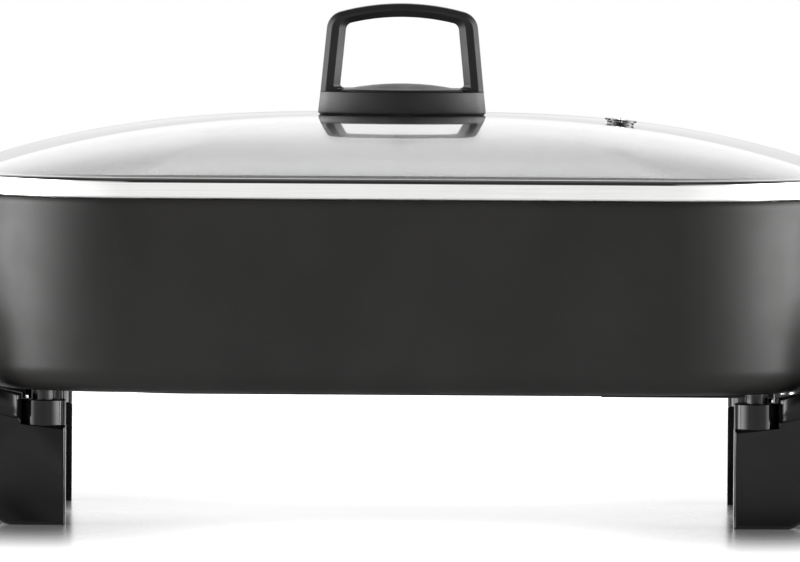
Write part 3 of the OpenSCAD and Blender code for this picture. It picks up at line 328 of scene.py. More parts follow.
def rounded_rectangle(r, steps=32, side_steps=1):
    """Points round the pan's plan outline with corner radius r, anticlockwise."""
    points = []
    centres = [Vector((x * CORNER_X, y * CORNER_Y)) for x, y in ((1, 1), (-1, 1), (-1, -1), (1, -1))]
    for k, centre in enumerate(centres):
        points += [centre + r * unit(90 * (k + i / steps)) for i in range(steps + 1)]
        a = points[-1]
        b = centres[(k + 1) % 4] + r * unit(90 * (k + 1))
        points += [a.lerp(b, j / side_steps) for j in range(1, side_steps)]
    return points


def around(section, z0):
    """Rings round the pan's plan outline, one for each (radius, height over z0) of a section."""
    return [[(p.x, p.y, z0 + z) for p in rounded_rectangle(r)] for r, z in section]


def applied(piece):
    """Replaces a piece's mesh by what its modifiers make of it."""
    graph = bpy.context.evaluated_depsgraph_get()
    mesh = bpy.data.meshes.new_from_object(piece.evaluated_get(graph))
    piece.modifiers.clear()
    piece.data = mesh
    return piece


def rounded(piece, width, segments, angle):
    """Rounds every edge sharper than angle degrees and keeps flat faces flat."""
    bevel = piece.modifiers.new("round", "BEVEL")
    bevel.width = width
    bevel.segments = segments
    bevel.limit_method = "ANGLE"
    bevel.angle_limit = math.radians(angle)
    bevel.harden_normals = True
    bevel.miter_outer = "MITER_ARC"
    return applied(piece)


def cut(piece, cutter):
    """Cuts a bmesh out of a piece."""
    cutter = new_piece("cutter", cutter)
    tool = piece.modifiers.new("cut", "BOOLEAN")
    tool.operation = "DIFFERENCE"
    tool.solver = "EXACT"
    tool.object = cutter
    applied(piece)
    bpy.data.objects.remove(cutter)


def weighted(piece):
    """Leans smooth normals towards the larger faces, so that flat faces look flat."""
    normals = piece.modifiers.new("normals", "WEIGHTED_NORMAL")
    normals.keep_sharp = True
    normals.weight = FLAT_WEIGHT
    return applied(piece)


def joined(name, pieces):
    """One object out of several."""
    for o in bpy.context.selected_objects:
        o.select_set(False)
    for o in pieces:
        o.select_set(True)
    bpy.context.view_layer.objects.active = pieces[0]
    bpy.ops.object.join()
    pieces[0].name = name
    pieces[0].data.name = name
    return pieces[0]


def mirrored(piece, name):
    """A copy of a piece on the other side of the plane X = 0."""
    bm = bmesh.new()
    bm.from_mesh(piece.data)
    bmesh.ops.scale(bm, vec=(-1, 1, 1), verts=bm.verts)
    bmesh.ops.reverse_faces(bm, faces=bm.faces)
    mesh = bpy.data.meshes.new(name)
    bm.to_mesh(mesh)
    bm.free()
    copy = bpy.data.objects.new(name, mesh)
    bpy.context.scene.collection.objects.link(copy)
    return copy


def place(piece, body, material, nodes=()):
    """Gives a piece its body and its finish, and hides the CAD nodes that it stands for."""
    piece.data.materials.clear()
    piece.data.materials.append(material)
    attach(piece, body)
    if nodes:
        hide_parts(*nodes)
    return piece


# ---------------------------------------------------------------- material helpers

# Where ramps start and end: RAISED over pointiness, the others over noise
RAISED = (0.52, 0.62)
RUBBED = (0.4, 0.7)
PATCHES = (0.3, 0.7)
CLOUDS = (0.35, 0.65)
FLECKS = (0.66, 0.74)
SMEARS = (0.5, 0.8)
# Shares of the fleck's and the worn colour, brightness of rubbed edges, and spreads of roughness
FLECK_SHARE = 0.35
COATING_WORN = 0.3
MOULDING_WORN = 0.35
METAL_WORN = 0.5
METAL_RUBBED = 1.3
MOULDING_RUBBED = 2.2
METAL_SPREAD = 0.1
SMEAR_SPREAD = 0.02


class Nodes:
    """A material's or a world's node tree with short calls for the nodes used here."""

    def __init__(self, tree):
        self.tree = tree
        self.tree.nodes.clear()

    def add(self, kind, **values):
        node = self.tree.nodes.new(kind)
        for name, value in values.items():
            setattr(node, name, value)
        return node

    def link(self, source, target):
        """Links a socket to another, or sets the other to a number."""
        if isinstance(source, (int, float)):
            target.default_value = source
        else:
            self.tree.links.new(source, target)

    def math(self, operation, *values):
        node = self.add("ShaderNodeMath", operation=operation)
        for value, socket in zip(values, node.inputs):
            self.link(value, socket)
        return node.outputs[0]

    def product(self, first, *others):
        for other in others:
            first = self.math("MULTIPLY", first, other)
        return first

    def ramp(self, value, low, high, to_low=0.0, to_high=1.0):
        """A smooth step from to_low to to_high while a value goes from low to high."""
        node = self.add("ShaderNodeMapRange", interpolation_type="SMOOTHSTEP")
        for name, v in (("Value", value), ("From Min", low), ("From Max", high)):
            self.link(v, node.inputs[name])
        node.inputs["To Min"].default_value = to_low
        node.inputs["To Max"].default_value = to_high
        return node.outputs[0]

    def noise(self, scale, detail, roughness=0.5, stretch=(1, 1, 1)):
        """Noise in the object's own metres; stretch scales each axis."""
        coordinates = self.add("ShaderNodeTexCoord")
        mapping = self.add("ShaderNodeMapping")
        mapping.inputs["Scale"].default_value = stretch
        self.link(coordinates.outputs["Object"], mapping.inputs["Vector"])
        node = self.add("ShaderNodeTexNoise")
        node.inputs["Scale"].default_value = scale
        node.inputs["Detail"].default_value = detail
        node.inputs["Roughness"].default_value = roughness
        self.link(mapping.outputs[0], node.inputs["Vector"])
        return node.outputs["Fac"]

    def patches(self, scale, detail, low=0.0, high=1.0):
        """Soft patches that range from low to high."""
        return self.ramp(self.noise(scale, detail), *PATCHES, low, high)

    def mix_colour(self, factor, a, b):
        node = self.add("ShaderNodeMix", data_type="RGBA")
        self.link(factor, node.inputs["Factor"])
        for value, socket in ((a, node.inputs[6]), (b, node.inputs[7])):
            if isinstance(value, tuple):
                socket.default_value = (*value, 1)
            else:
                self.link(value, socket)
        return node.outputs[2]

    def mix_shader(self, factor, a, b):
        node = self.add("ShaderNodeMixShader")
        for value, socket in zip((factor, a.outputs[0], b.outputs[0]), node.inputs):
            self.link(value, socket)
        return node

    def bump(self, height, strength, distance, normal=None):
        node = self.add("ShaderNodeBump")
        node.inputs["Strength"].default_value = strength
        node.inputs["Distance"].default_value = distance
        self.link(height, node.inputs["Height"])
        if normal:
            self.link(normal, node.inputs["Normal"])
        return node.outputs["Normal"]

    def to_eye(self):
        """1 for rays from the camera and rays through glass, otherwise 0."""
        path = self.add("ShaderNodeLightPath")
        return self.math("MAXIMUM", path.outputs["Is Camera Ray"], path.outputs["Is Transmission Ray"])


class Finish:
    """A material whose Principled shader takes links and numbers by the names of its sockets."""

    def __init__(self, name):
        self.material = bpy.data.materials.new(name)
        self.material.use_nodes = True
        self.nodes = Nodes(self.material.node_tree)
        self.shader = self.nodes.add("ShaderNodeBsdfPrincipled")
        self.output = self.nodes.add("ShaderNodeOutputMaterial")
        self.nodes.link(self.shader.outputs[0], self.output.inputs["Surface"])

    def set(self, **values):
        """Links or sets sockets; an underscore stands for a space in a socket's name."""
        for name, value in values.items():
            self.nodes.link(value, self.shader.inputs[name.replace("_", " ")])


def worn(nodes, colour, wear, share):
    """Lets a paler colour through in patches along the raised edges."""
    geometry = nodes.add("ShaderNodeNewGeometry")
    edge = nodes.ramp(geometry.outputs["Pointiness"], *RAISED)
    patchy = nodes.ramp(nodes.noise(scale=220, detail=4), *RUBBED)
    return nodes.mix_colour(nodes.product(edge, patchy, share), colour, wear)


def pan_coating(name, low, high, fleck, wear, ior):
    """Satin coating: fine orange peel, a faint metallic fleck and slow changes of sheen."""
    finish = Finish(name)
    nodes = finish.nodes
    tone = nodes.mix_colour(nodes.ramp(nodes.noise(scale=22, detail=3), *CLOUDS), low, high)
    flecks = nodes.ramp(nodes.noise(scale=2600, detail=1), *FLECKS)
    tone = nodes.mix_colour(nodes.product(flecks, FLECK_SHARE), tone, fleck)
    peel = nodes.bump(nodes.noise(scale=900, detail=2), strength=0.12, distance=0.0002)
    grain = nodes.bump(nodes.noise(scale=3800, detail=1), strength=0.1, distance=0.0001, normal=peel)
    sheen = nodes.patches(scale=60, detail=4, low=0.4, high=0.46)
    finish.set(Base_Color=worn(nodes, tone, wear, COATING_WORN), Roughness=sheen, Normal=grain, IOR=ior)
    return finish.material


def polished_steel(name, low, high):
    """Rolled and polished stainless steel with faint draw lines."""
    finish = Finish(name)
    nodes = finish.nodes
    lines = nodes.noise(scale=900, detail=3, roughness=0.6, stretch=(0.02, 0.02, 1.5))
    tone = nodes.mix_colour(nodes.ramp(lines, *PATCHES), low, high)
    drawn = nodes.bump(lines, strength=0.05, distance=0.00008)
    gloss = nodes.patches(scale=45, detail=3, low=0.05, high=0.09)
    finish.set(Metallic=1, Base_Color=tone, Roughness=gloss, Normal=drawn)
    return finish.material


def metal(name, low, high, roughness):
    """A plain metal part: tone and roughness that vary a little, brighter rubbed edges."""
    finish = Finish(name)
    nodes = finish.nodes
    tone = nodes.mix_colour(nodes.patches(scale=150, detail=4), low, high)
    bright = tuple(min(1, METAL_RUBBED * c) for c in high)
    gloss = nodes.patches(scale=300, detail=3, low=roughness, high=roughness + METAL_SPREAD)
    grain = nodes.bump(nodes.noise(scale=700, detail=3), strength=0.1, distance=0.0001)
    tone = worn(nodes, tone, bright, METAL_WORN)
    finish.set(Metallic=1, Base_Color=tone, Roughness=gloss, Normal=grain)
    return finish.material


def moulding(name, low, high, roughness, spread, grain, grain_strength, ior=1.5):
    """A plastic moulding: grain at its real scale, soft tone changes and rubbed edges."""
    finish = Finish(name)
    nodes = finish.nodes
    tone = nodes.mix_colour(nodes.patches(scale=35, detail=3), low, high)
    rubbed = tuple(MOULDING_RUBBED * c for c in high)
    gloss = nodes.patches(scale=80, detail=4, low=roughness, high=roughness + spread)
    flow = nodes.bump(nodes.noise(scale=26, detail=1), strength=0.05, distance=0.0006)
    grained = nodes.bump(nodes.noise(grain, detail=2), grain_strength, distance=0.0001, normal=flow)
    tone = worn(nodes, tone, rubbed, MOULDING_WORN)
    finish.set(Base_Color=tone, Roughness=gloss, Normal=grained, IOR=ior)
    return finish.material


def glass(name, tint, roughness=0.0, ior=1.46):
    """Clear glass that lets light through to what lies under it, with faint smears under a clean surface."""
    finish = Finish(name)
    nodes = finish.nodes
    tone = nodes.mix_colour(nodes.patches(scale=12, detail=3), tint, (1, 1, 1))
    smears = nodes.ramp(nodes.noise(scale=30, detail=5), *SMEARS, roughness, roughness + SMEAR_SPREAD)
    waves = nodes.bump(nodes.noise(scale=18, detail=1), strength=0.02, distance=0.0005)
    finish.set(Transmission_Weight=1, IOR=ior, Base_Color=tone, Roughness=smears, Normal=waves)
    finish.set(Coat_Weight=1, Coat_Roughness=0.0, Coat_IOR=ior)
    clear = nodes.add("ShaderNodeBsdfTransparent")
    clear.inputs["Color"].default_value = (*tint, 1)
    path = nodes.add("ShaderNodeLightPath")
    through = nodes.math("MAXIMUM", path.outputs["Is Shadow Ray"], path.outputs["Is Diffuse Ray"])
    mix = nodes.mix_shader(through, finish.shader, clear)
    nodes.link(mix.outputs[0], finish.output.inputs["Surface"])
    return finish.material


def grainy(name, low, high, roughness, tones, grain):
    """A dull part. tones is a noise's scale and detail, and grain has a bump's strength as well."""
    finish = Finish(name)
    nodes = finish.nodes
    tone = nodes.mix_colour(nodes.noise(*tones), low, high)
    scale, detail, strength = grain
    grained = nodes.bump(nodes.noise(scale, detail), strength, distance=0.0001)
    finish.set(Base_Color=tone, Roughness=roughness, Normal=grained)
    return finish.material


FINISH = {
    "pan_coating": pan_coating("skillet_coating", (0.0125, 0.012, 0.0114), (0.016, 0.0153, 0.0146),
                               fleck=(0.05, 0.047, 0.044), wear=(0.03, 0.029, 0.028), ior=1.36),
    "polished_steel": polished_steel("skillet_polished_steel", (0.88, 0.88, 0.87), (0.93, 0.93, 0.92)),
    "plated_steel": metal("skillet_plated_steel", (0.5, 0.5, 0.49), (0.62, 0.62, 0.61), 0.24),
    "dark_steel": metal("skillet_dark_steel", (0.03, 0.03, 0.03), (0.055, 0.055, 0.055), 0.2),
    "element_sheath": metal("skillet_element_sheath", (0.16, 0.155, 0.15), (0.28, 0.27, 0.26), 0.45),
    "brass": metal("skillet_brass", (0.62, 0.45, 0.2), (0.75, 0.56, 0.28), 0.25),
    "gloss_black": moulding("skillet_gloss_black", (0.004, 0.004, 0.0042), (0.006, 0.006, 0.0063),
                            roughness=0.08, spread=0.05, grain=500, grain_strength=0.03, ior=1.36),
    "satin_charcoal": moulding("skillet_satin_charcoal", (0.011, 0.011, 0.0115), (0.016, 0.016, 0.0165),
                               roughness=0.34, spread=0.08, grain=1500, grain_strength=0.12, ior=1.39),
    "matte_black": moulding("skillet_matte_black", (0.011, 0.011, 0.0115), (0.017, 0.017, 0.0175),
                            roughness=0.5, spread=0.08, grain=1300, grain_strength=0.3),
    "clear_glass": glass("skillet_clear_glass", (0.955, 0.963, 0.96), 0.07),
    "lamp_glass": glass("skillet_lamp_glass", (0.95, 0.75, 0.6)),
    "red_lens": glass("skillet_red_lens", (0.75, 0.03, 0.02), 0.08, 1.5),
    "silicone": grainy("skillet_silicone", (0.05, 0.05, 0.052), (0.09, 0.09, 0.092),
                       roughness=0.6, tones=(90, 3), grain=(1200, 2, 0.15)),
    "ceramic": grainy("skillet_steatite", (0.6, 0.57, 0.49), (0.74, 0.71, 0.63),
                      roughness=0.7, tones=(400, 4), grain=(1500, 3, 0.2)),
}
# Nodes that look unlike the rest of their slot
LOOKS = {
    "glass_washer": glass("skillet_clear_silicone", (0.93, 0.93, 0.92), 0.3, 1.41),
    # Painted shade: the vent's eyelet and disc get nearly black steel for the shadow seen on them
    "vent_eyelet": metal("skillet_vent_steel_painted_dark", (0.05, 0.05, 0.05), (0.07, 0.07, 0.07), 0.1),
}
LOOKS["vent_disc"] = LOOKS["vent_eyelet"]

# ---------------------------------------------------------------- pan


def pan_section():
    """The pan's section from its flat underside out, up, over the rim and down to the flat floor inside."""
    flat_r = FOOT_OUTLINE_R - UNDER_R
    floor_r = FOOT_OUTLINE_R - WALL_T - INSIDE_R
    edge = RIM_EDGE_R
    return (
        arc(flat_r, UNDER_R, UNDER_R, UNDER_R, -90, -LEAN_ANGLE, 16)
        + arc(CORNER_R - RIM_ROUND_T, PAN_H - RIM_ROUND_H, RIM_ROUND_T, RIM_ROUND_H, 0, 90, 12)
        + arc(CORNER_R - RIM_T + edge, PAN_H - edge, edge, edge, 90, 180, 5)
        + arc(floor_r, FLOOR_T + INSIDE_R, INSIDE_R, INSIDE_R, -INSIDE_LEAN, -90, 12)
    )


def element_path():
    """Points along one half of the element's loop, from its far end to a terminal."""
    bend_x = ELEMENT_HALF_L - ELEMENT_BEND_R
    bend_y = ELEMENT_HALF_W - ELEMENT_BEND_R
    turn_x = ELEMENT_HALF_L + ELEMENT_TURN_R
    points = [(-ELEMENT_HALF_L, 0)]
    points += arc(-bend_x, bend_y, ELEMENT_BEND_R, ELEMENT_BEND_R, 180, 90, 20)
    points += arc(bend_x, bend_y, ELEMENT_BEND_R, ELEMENT_BEND_R, 90, 0, 20)
    points += arc(turn_x, PIN_HALF_PITCH + ELEMENT_TURN_R, ELEMENT_TURN_R, ELEMENT_TURN_R, 180, 270, 12)
    points += [(ELEMENT_END_X, PIN_HALF_PITCH)]
    return points


def ridge_section():
    """Two walls with rounded feet and the groove between them for the element, as offsets across and up."""
    low = PAN_Z - RIDGE_H
    edge = RIDGE_EDGE_R
    right = [(GROOVE_R, low)] + arc(RIDGE_HALF_W - edge, low + edge, edge, edge, -90, 0, 4)
    right += [(RIDGE_HALF_W, PAN_Z + SINK)]
    return right + [(-x, z) for x, z in reversed(right)] + [(-GROOVE_R, ELEMENT_Z), (GROOVE_R, ELEMENT_Z)]


def pan_underside():
    """The cast ridge that holds the element and the boss round the probe's rod."""
    half = element_path()
    loop = [(x, -y) for x, y in reversed(half)] + half[1:]
    ridge = new_piece("pan_ridge", along(loop, ridge_section()), 40)
    edge, edge_z = BOSS_EDGE_R, ROD_Z - BORE_R - BOSS_WALL + BOSS_EDGE_R
    outline = [(-BOSS_HALF_W, PAN_Z + SINK)]
    outline += arc(-BOSS_HALF_W + edge, edge_z, edge, edge, 180, 270, 6)
    outline += arc(BOSS_HALF_W - edge, edge_z, edge, edge, 270, 360, 6)
    outline += [(BOSS_HALF_W, PAN_Z + SINK)]
    boss = new_piece("pan_boss", along([(BOSS_START_X, 0), (ELEMENT_END_X, 0)], outline), 30)
    bore = circle(0, ROD_Z, BORE_R, 48)
    ends = (BOSS_START_X + BOSS_END_WALL, ELEMENT_END_X + CUT_SPARE)
    cut(boss, capped([[(x, y, z) for y, z in bore] for x in ends]))
    return joined("pan_underside", [ridge, boss])


pan_shell = new_piece("pan_shell", capped(around(pan_section(), PAN_Z)), 30)
place(pan_shell, "base", FINISH["pan_coating"], ["pan_body"])
place(pan_underside(), "base", FINISH["pan_coating"], ["pan_body"])

# ---------------------------------------------------------------- lid band and glass


def band_section():
    """The rolled steel channel: outer wall, lip over the glass, seat and locating flange."""
    r = CORNER_R
    inner = BAND_EDGE_R - BAND_T
    seat = GLASS_RIM_Z - GLASS_T - BAND_Z
    seat_r = r - BAND_LIP
    foot = BAND_FOOT_R
    return (
        arc(r - foot, foot, foot, foot, -90, 0, 4)
        + arc(r - BAND_EDGE_R, BAND_H - BAND_EDGE_R, BAND_EDGE_R, BAND_EDGE_R, 0, 90, 10)
        + arc(seat_r, BAND_H - BAND_T / 2, BAND_T / 2, BAND_T / 2, 90, 270, 8)
        + arc(r - BAND_EDGE_R, BAND_H - BAND_EDGE_R, inner, inner, 90, 0, 6)
        + [(r - BAND_T, BAND_T), (seat_r + BAND_T, BAND_T), (seat_r + BAND_T, seat), (seat_r, seat)]
        + [(seat_r, BAND_T), (LOCATE_R - BAND_T, BAND_T)]
        + [(LOCATE_R - BAND_T, -LOCATE_H), (LOCATE_R, -LOCATE_H), (LOCATE_R, 0)]
    )


def lid_band():
    bm = bmesh.new()
    grid_faces(bm, around(band_section(), BAND_Z), closed=True)
    return weighted(new_piece("steel_band", bm, 40))


def dome_height(point, share):
    """Height of the dome's outer face at a share of the way from its crest to a rim point."""
    power = POWER_X + (POWER_Y - POWER_X) * point.y ** 2 / point.length_squared
    return GLASS_RIM_Z + DOME_RISE * (1 - share ** power)


def dome_glass():
    """A closed glass shell with a rounded rim and a hole for the handle's screw."""
    rim = rounded_rectangle(GLASS_RIM_R, DOME_STEPS, DOME_STEPS)
    dome = rounded_rectangle(DOME_RIM_R, DOME_STEPS, DOME_STEPS)
    shares = [1 - DOME_REACH * (i / DOME_RINGS) for i in range(DOME_RINGS + 1)]
    crest = GLASS_RIM_Z + DOME_RISE

    def face(drop):
        rings = [[(*(p * t), dome_height(p, t) - drop) for p in dome] for t in shares]
        rings.append([(*(p.normalized() * SCREW_HOLE_R), crest - drop) for p in dome])
        return rings

    top = list(reversed(face(0)))
    shoulder = [[(*(p - p.normalized() * GLASS_EDGE), GLASS_RIM_Z) for p in rim]]
    side = [[(*p, z) for p in rim] for z in (GLASS_RIM_Z - GLASS_EDGE, GLASS_RIM_Z - GLASS_T)]
    bm = bmesh.new()
    grid_faces(bm, top + shoulder + side + face(GLASS_T), closed=True)
    return new_piece("dome_glass", bm, 30)


place(lid_band(), "lid", FINISH["polished_steel"], ["lid_band"])
place(dome_glass(), "lid", FINISH["clear_glass"], ["glass_lid"])

# ---------------------------------------------------------------- lid handle


def handle_geometry():
    """Centres and radii of the loop's outer and inner arcs, and the taper of its legs in degrees."""
    centre_z = HANDLE_TOP_Z - ARCH_R
    x = TOP_HALF_W - SHOULDER_R
    z = centre_z + math.sqrt((ARCH_R - SHOULDER_R) ** 2 - x ** 2)
    taper = math.degrees(math.atan((FOOT_HALF_W - TOP_HALF_W) / (z - HANDLE_Z)))
    inner_arch = ARCH_R - BAR_T
    inner_x = TOP_HALF_W - LOOP_LEG_W - INNER_R
    inner_z = centre_z + math.sqrt((inner_arch - INNER_R) ** 2 - inner_x ** 2)
    return centre_z, x, z, taper, inner_arch, inner_x, inner_z


def opening_half_w(z):
    """Half the width of the loop's opening at a height below its rounded corners."""
    _, _, _, taper, _, inner_x, inner_z = handle_geometry()
    return inner_x + INNER_R + (inner_z - z) * math.tan(math.radians(taper))


def loop_stations():
    """Pairs of outer and inner points round the loop, from the right foot over the top to the left one."""
    centre_z, x, z, taper, inner_arch, inner_x, inner_z = handle_geometry()
    shoulder = 90 - math.degrees(math.atan2(x, z - centre_z))
    corner = 90 - math.degrees(math.atan2(inner_x, inner_z - centre_z))
    rise = math.tan(math.radians(taper))
    low_z = cap_high.z - CAP_ARCH_DROP
    levels = [HANDLE_Z] + [low_z + LOOP_FILLET_R * k / FILLET_STEPS for k in range(FILLET_STEPS + 1)]
    outer = [(FOOT_HALF_W - (level - HANDLE_Z) * rise, level) for level in levels]
    outer += arc(x, z, SHOULDER_R, SHOULDER_R, taper, shoulder, LOOP_STEPS)
    outer += arc(0, centre_z, ARCH_R, ARCH_R, shoulder + LOOP_SKIP, 90, LOOP_STEPS)
    inner = []
    for level in levels:
        depth = min(LOOP_FILLET_R, low_z + LOOP_FILLET_R - level)
        fillet = LOOP_FILLET_R - math.sqrt(LOOP_FILLET_R ** 2 - depth ** 2)
        inner.append((opening_half_w(level) - fillet, level))
    inner += arc(inner_x, inner_z, INNER_R, INNER_R, taper, corner, LOOP_STEPS)
    inner += arc(0, centre_z, inner_arch, inner_arch, corner + LOOP_SKIP, 90, LOOP_STEPS)
    half = list(zip(outer, inner))
    other = [((-o[0], o[1]), (-i[0], i[1])) for o, i in reversed(half[:-1])]
    return half + other


def base_outline(inset, half_w):
    """Plan of the handle's base, bulging to the front and back."""
    bulge = (BASE_D - BASE_END_D) / 2
    reach = FOOT_HALF_W - BASE_END_CUT
    r = (reach ** 2 + bulge ** 2) / (2 * bulge)
    span = math.degrees(math.asin(min(1, half_w / r)))
    front = arc(0, BASE_D / 2 - r, r - inset, r - inset, 90 - span, 90 + span, BASE_STEPS)
    front = [p for p in front if abs(p[0]) <= half_w + 1e-9]
    return front + [(x, -y) for x, y in reversed(front)]


def glass_height(x, y):
    """Height of the glass's outer face over a point near its crest."""
    reach = Vector((x, y))
    if reach.length < MERGE_DIST:
        return GLASS_RIM_Z + DOME_RISE
    half = Vector((CORNER_X + DOME_RIM_R, CORNER_Y + DOME_RIM_R))
    share = max(abs(x) / half.x, abs(y) / half.y)
    return dome_height(reach / share, share)


def base_ring(z, inset, taper):
    """Plan of the base with its clipped ends at a height, drawn in by an inset."""
    half = FOOT_HALF_W - (z - HANDLE_Z) * taper - inset
    end = half - BASE_END_CUT
    front = [(x, y - inset) for x, y in base_outline(0, FOOT_HALF_W - BASE_END_CUT)[:BASE_STEPS + 1]]
    front = [(x * end / front[0][0], y) for x, y in front]
    upper = [(half, LOOP_D / 2 - inset)] + front + [(-half, LOOP_D / 2 - inset)]
    return upper + [(x, -y) for x, y in reversed(upper)]


def handle_foot(top_z):
    """The broad foot: it follows the glass below, leans in with the loop's legs and has rounded edges."""
    taper = math.tan(math.radians(handle_geometry()[3]))
    middle = [Vector((x, y)) * 0.5 for x, y in base_ring(HANDLE_Z, FOOT_LOW_EDGE, taper)]
    rings = [[(*p, glass_height(*p) + GLASS_SEAT) for p in middle]]
    for a in map(math.radians, (90, 60, 30, 0)):
        lift = GLASS_SEAT + FOOT_LOW_EDGE * (1 - math.sin(a))
        ring = base_ring(HANDLE_Z, FOOT_LOW_EDGE * (1 - math.cos(a)), taper)
        rings.append([(x, y, glass_height(x, y) + lift) for x, y in ring])
    for a in map(math.radians, (0, 30, 60, 90)):
        z = top_z - FOOT_TOP_EDGE * (1 - math.sin(a))
        rings.append([(x, y, z) for x, y in base_ring(z, FOOT_TOP_EDGE * (1 - math.cos(a)), taper)])
    return new_piece("foot", capped(rings), 30)


def loop_bar():
    """The loop as a bar with a flat front and back and chamfers along its outer and inner edges."""
    rows = []
    d = LOOP_D / 2
    for outer, inner in loop_stations():
        start = Vector(inner)
        width = (Vector(outer) - start).length
        way = (Vector(outer) - start) / width
        wide, slim = LOOP_INNER_CHAMFER, LOOP_CHAMFER
        inner_y, outer_y = d - LOOP_INNER_DEPTH, d - LOOP_CHAMFER_DEPTH
        section = [(width - slim, -d), (width, -outer_y), (width, outer_y), (width - slim, d)]
        section += [(wide, d), (0, inner_y), (0, -inner_y), (wide, -d)]
        points = [(start + way * x, y) for x, y in section]
        rows.append([(p.x, y, p.y) for p, y in points])
    return rounded(new_piece("loop", capped(rows), 30), LOOP_EDGE_R, segments=3, angle=30)


def handle_cap():
    """The domed cap inside the loop, over a set-back pedestal."""
    base_top = cap_low.z + BASE_LIFT
    half_w = opening_half_w(base_top) - CAP_GAP
    low_z = base_top + 0.5 * SHADOW_H
    arch_r = (half_w ** 2 + CAP_ARCH_DROP ** 2) / (2 * CAP_ARCH_DROP)

    def dome(x, y):
        along_x = math.sqrt(arch_r ** 2 - x ** 2) - arch_r
        along_y = math.sqrt(CAP_CROSS_R ** 2 - y ** 2) - CAP_CROSS_R
        return cap_high.z + along_x + along_y

    rim = [Vector(p) for p in base_outline(CAP_SETBACK, half_w)]
    rings = [[(*p, low_z) for p in rim]]
    for a in map(math.radians, (0, 30, 60, 90)):
        lift = CAP_EDGE_R * math.sin(a)
        ring = [p - p.normalized() * (CAP_EDGE_R * (1 - math.cos(a))) for p in rim]
        rings.append([(*p, max(low_z, dome(*p) - CAP_EDGE_R) + lift) for p in ring])
    shrunk = [p - p.normalized() * CAP_EDGE_R for p in rim]
    rings += [[(*(p * t), dome(*(p * t))) for p in shrunk] for t in CAP_RINGS]
    cap = new_piece("cap", capped(rings), 40)
    shadow = base_outline(PEDESTAL_SETBACK, half_w - PEDESTAL_SETBACK)
    pedestal = new_piece("pedestal", prism(shadow, base_top, low_z + PEDESTAL_OVERLAP), 40)
    return joined("domed_cap", [cap, pedestal])


lid_handle = joined("loop_handle", [loop_bar(), handle_foot(HANDLE_Z + BASE_H + BASE_LIFT)])
place(lid_handle, "lid", FINISH["satin_charcoal"], ["lid_handle"])
place(handle_cap(), "lid", FINISH["satin_charcoal"], ["handle_cap"])

# ---------------------------------------------------------------- legs and side grips

# The lower and the upper edge of an arm from its root to the outside of the grip, as (x, height)
ARM_LOW = [
    (ARM_START_X, ARM_LOW_Z - 0.8 * MM), (ARM_START_X + 10 * MM, ARM_LOW_Z + 1.6 * MM),
    (GRIP_IN_X - 22 * MM, GRIP_Z - 3.6 * MM), (GRIP_IN_X - 8 * MM, GRIP_Z), (GRIP_OUT_X, GRIP_Z),
]
ARM_TOP = [
    (ARM_START_X, ARM_TOP_Z - 2.4 * MM), (ARM_START_X + 4 * MM, ARM_TOP_Z - 0.4 * MM),
    (ARM_START_X + 10 * MM, ARM_TOP_Z + 0.2 * MM), (ARM_START_X + 22 * MM, ARM_TOP_Z + 4.4 * MM),
    (GRIP_IN_X - 16 * MM, GRIP_TOP_Z - 3.5 * MM), (GRIP_IN_X - 4 * MM, GRIP_TOP_Z), (GRIP_OUT_X, GRIP_TOP_Z),
]


def leg_outline(inset, top_z=math.inf):
    """Outline of a leg from the front, drawn in by an inset and cut off at a height."""
    corner = Vector((LEG_INNER_X + FOOT_L, FOOT_CORNER_R))
    sweep = corner + (FOOT_CORNER_R - SWEEP_R) * unit(FOOT_HEADING - 90)
    r = FOOT_CORNER_R - inset
    sweep_r = SWEEP_R - inset
    points = (
        [(LEG_INNER_X + inset, inset)]
        + arc(corner.x, corner.y, r, r, -90, FOOT_HEADING - 90, 8)
        + arc(sweep.x, sweep.y, sweep_r, sweep_r, FOOT_HEADING - 90, SWEEP_HEADING - 90, 24)
        + [(GRIP_IN_X - WEB_REACH, ARM_TOP_Z + WEB_RISE), (ARM_START_X + WEB_ROOT, ARM_TOP_Z - WEB_DROP)]
        + [(LEG_X + HEAD_R, HEAD_Z + HEAD_OVERLAP), (LEG_INNER_X + inset, HEAD_Z - inset)]
    )
    return [(x, min(z, top_z)) for x, z in points]


def leg(side):
    """One leg: a panel with rounded edges, hollow at the back, and a round head. side is -1 in front."""
    front = side * LEG_FRONT_Y
    back = side * (LEG_FRONT_Y - 2 * HEAD_R)
    rings = []
    for a in map(math.radians, range(0, 91, 15)):
        depth = LEG_EDGE_R * (1 - math.cos(a))
        outline = leg_outline(LEG_EDGE_R * (1 - math.sin(a)))
        rings.append([(x, front - side * depth, z) for x, z in outline])
    rings.append([(x, back, z) for x, z in leg_outline(0)])
    hollow = leg_outline(LEG_WALL, HEAD_Z - LEG_WALL)
    rings += [[(x, y, z) for x, z in hollow] for y in (back, front - side * LEG_WALL)]
    panel = new_piece("panel", capped(rings), 40)
    cut(panel, cylinder(LEG_X, side * LEG_Y, -CUT_SPARE, SCREW_SEAT_Z, DRIVER_WAY_R))
    head = new_piece("head", cylinder(LEG_X, side * LEG_Y, HEAD_Z, LEG_H, HEAD_R, 96), 40)
    rounded(head, HEAD_EDGE_R, segments=4, angle=60)
    cut(head, cylinder(LEG_X, side * LEG_Y, HEAD_Z - CUT_SPARE, SCREW_SEAT_Z, DRIVER_WAY_R))
    return [weighted(panel), head]


def smooth_height(knots, x, reach=5 * MM):
    """Height at x on a line through knots, averaged over a short reach."""
    xs, zs = zip(*knots)
    return float(np.mean([np.interp(x + reach * k / 4, xs, zs) for k in range(-4, 5)]))


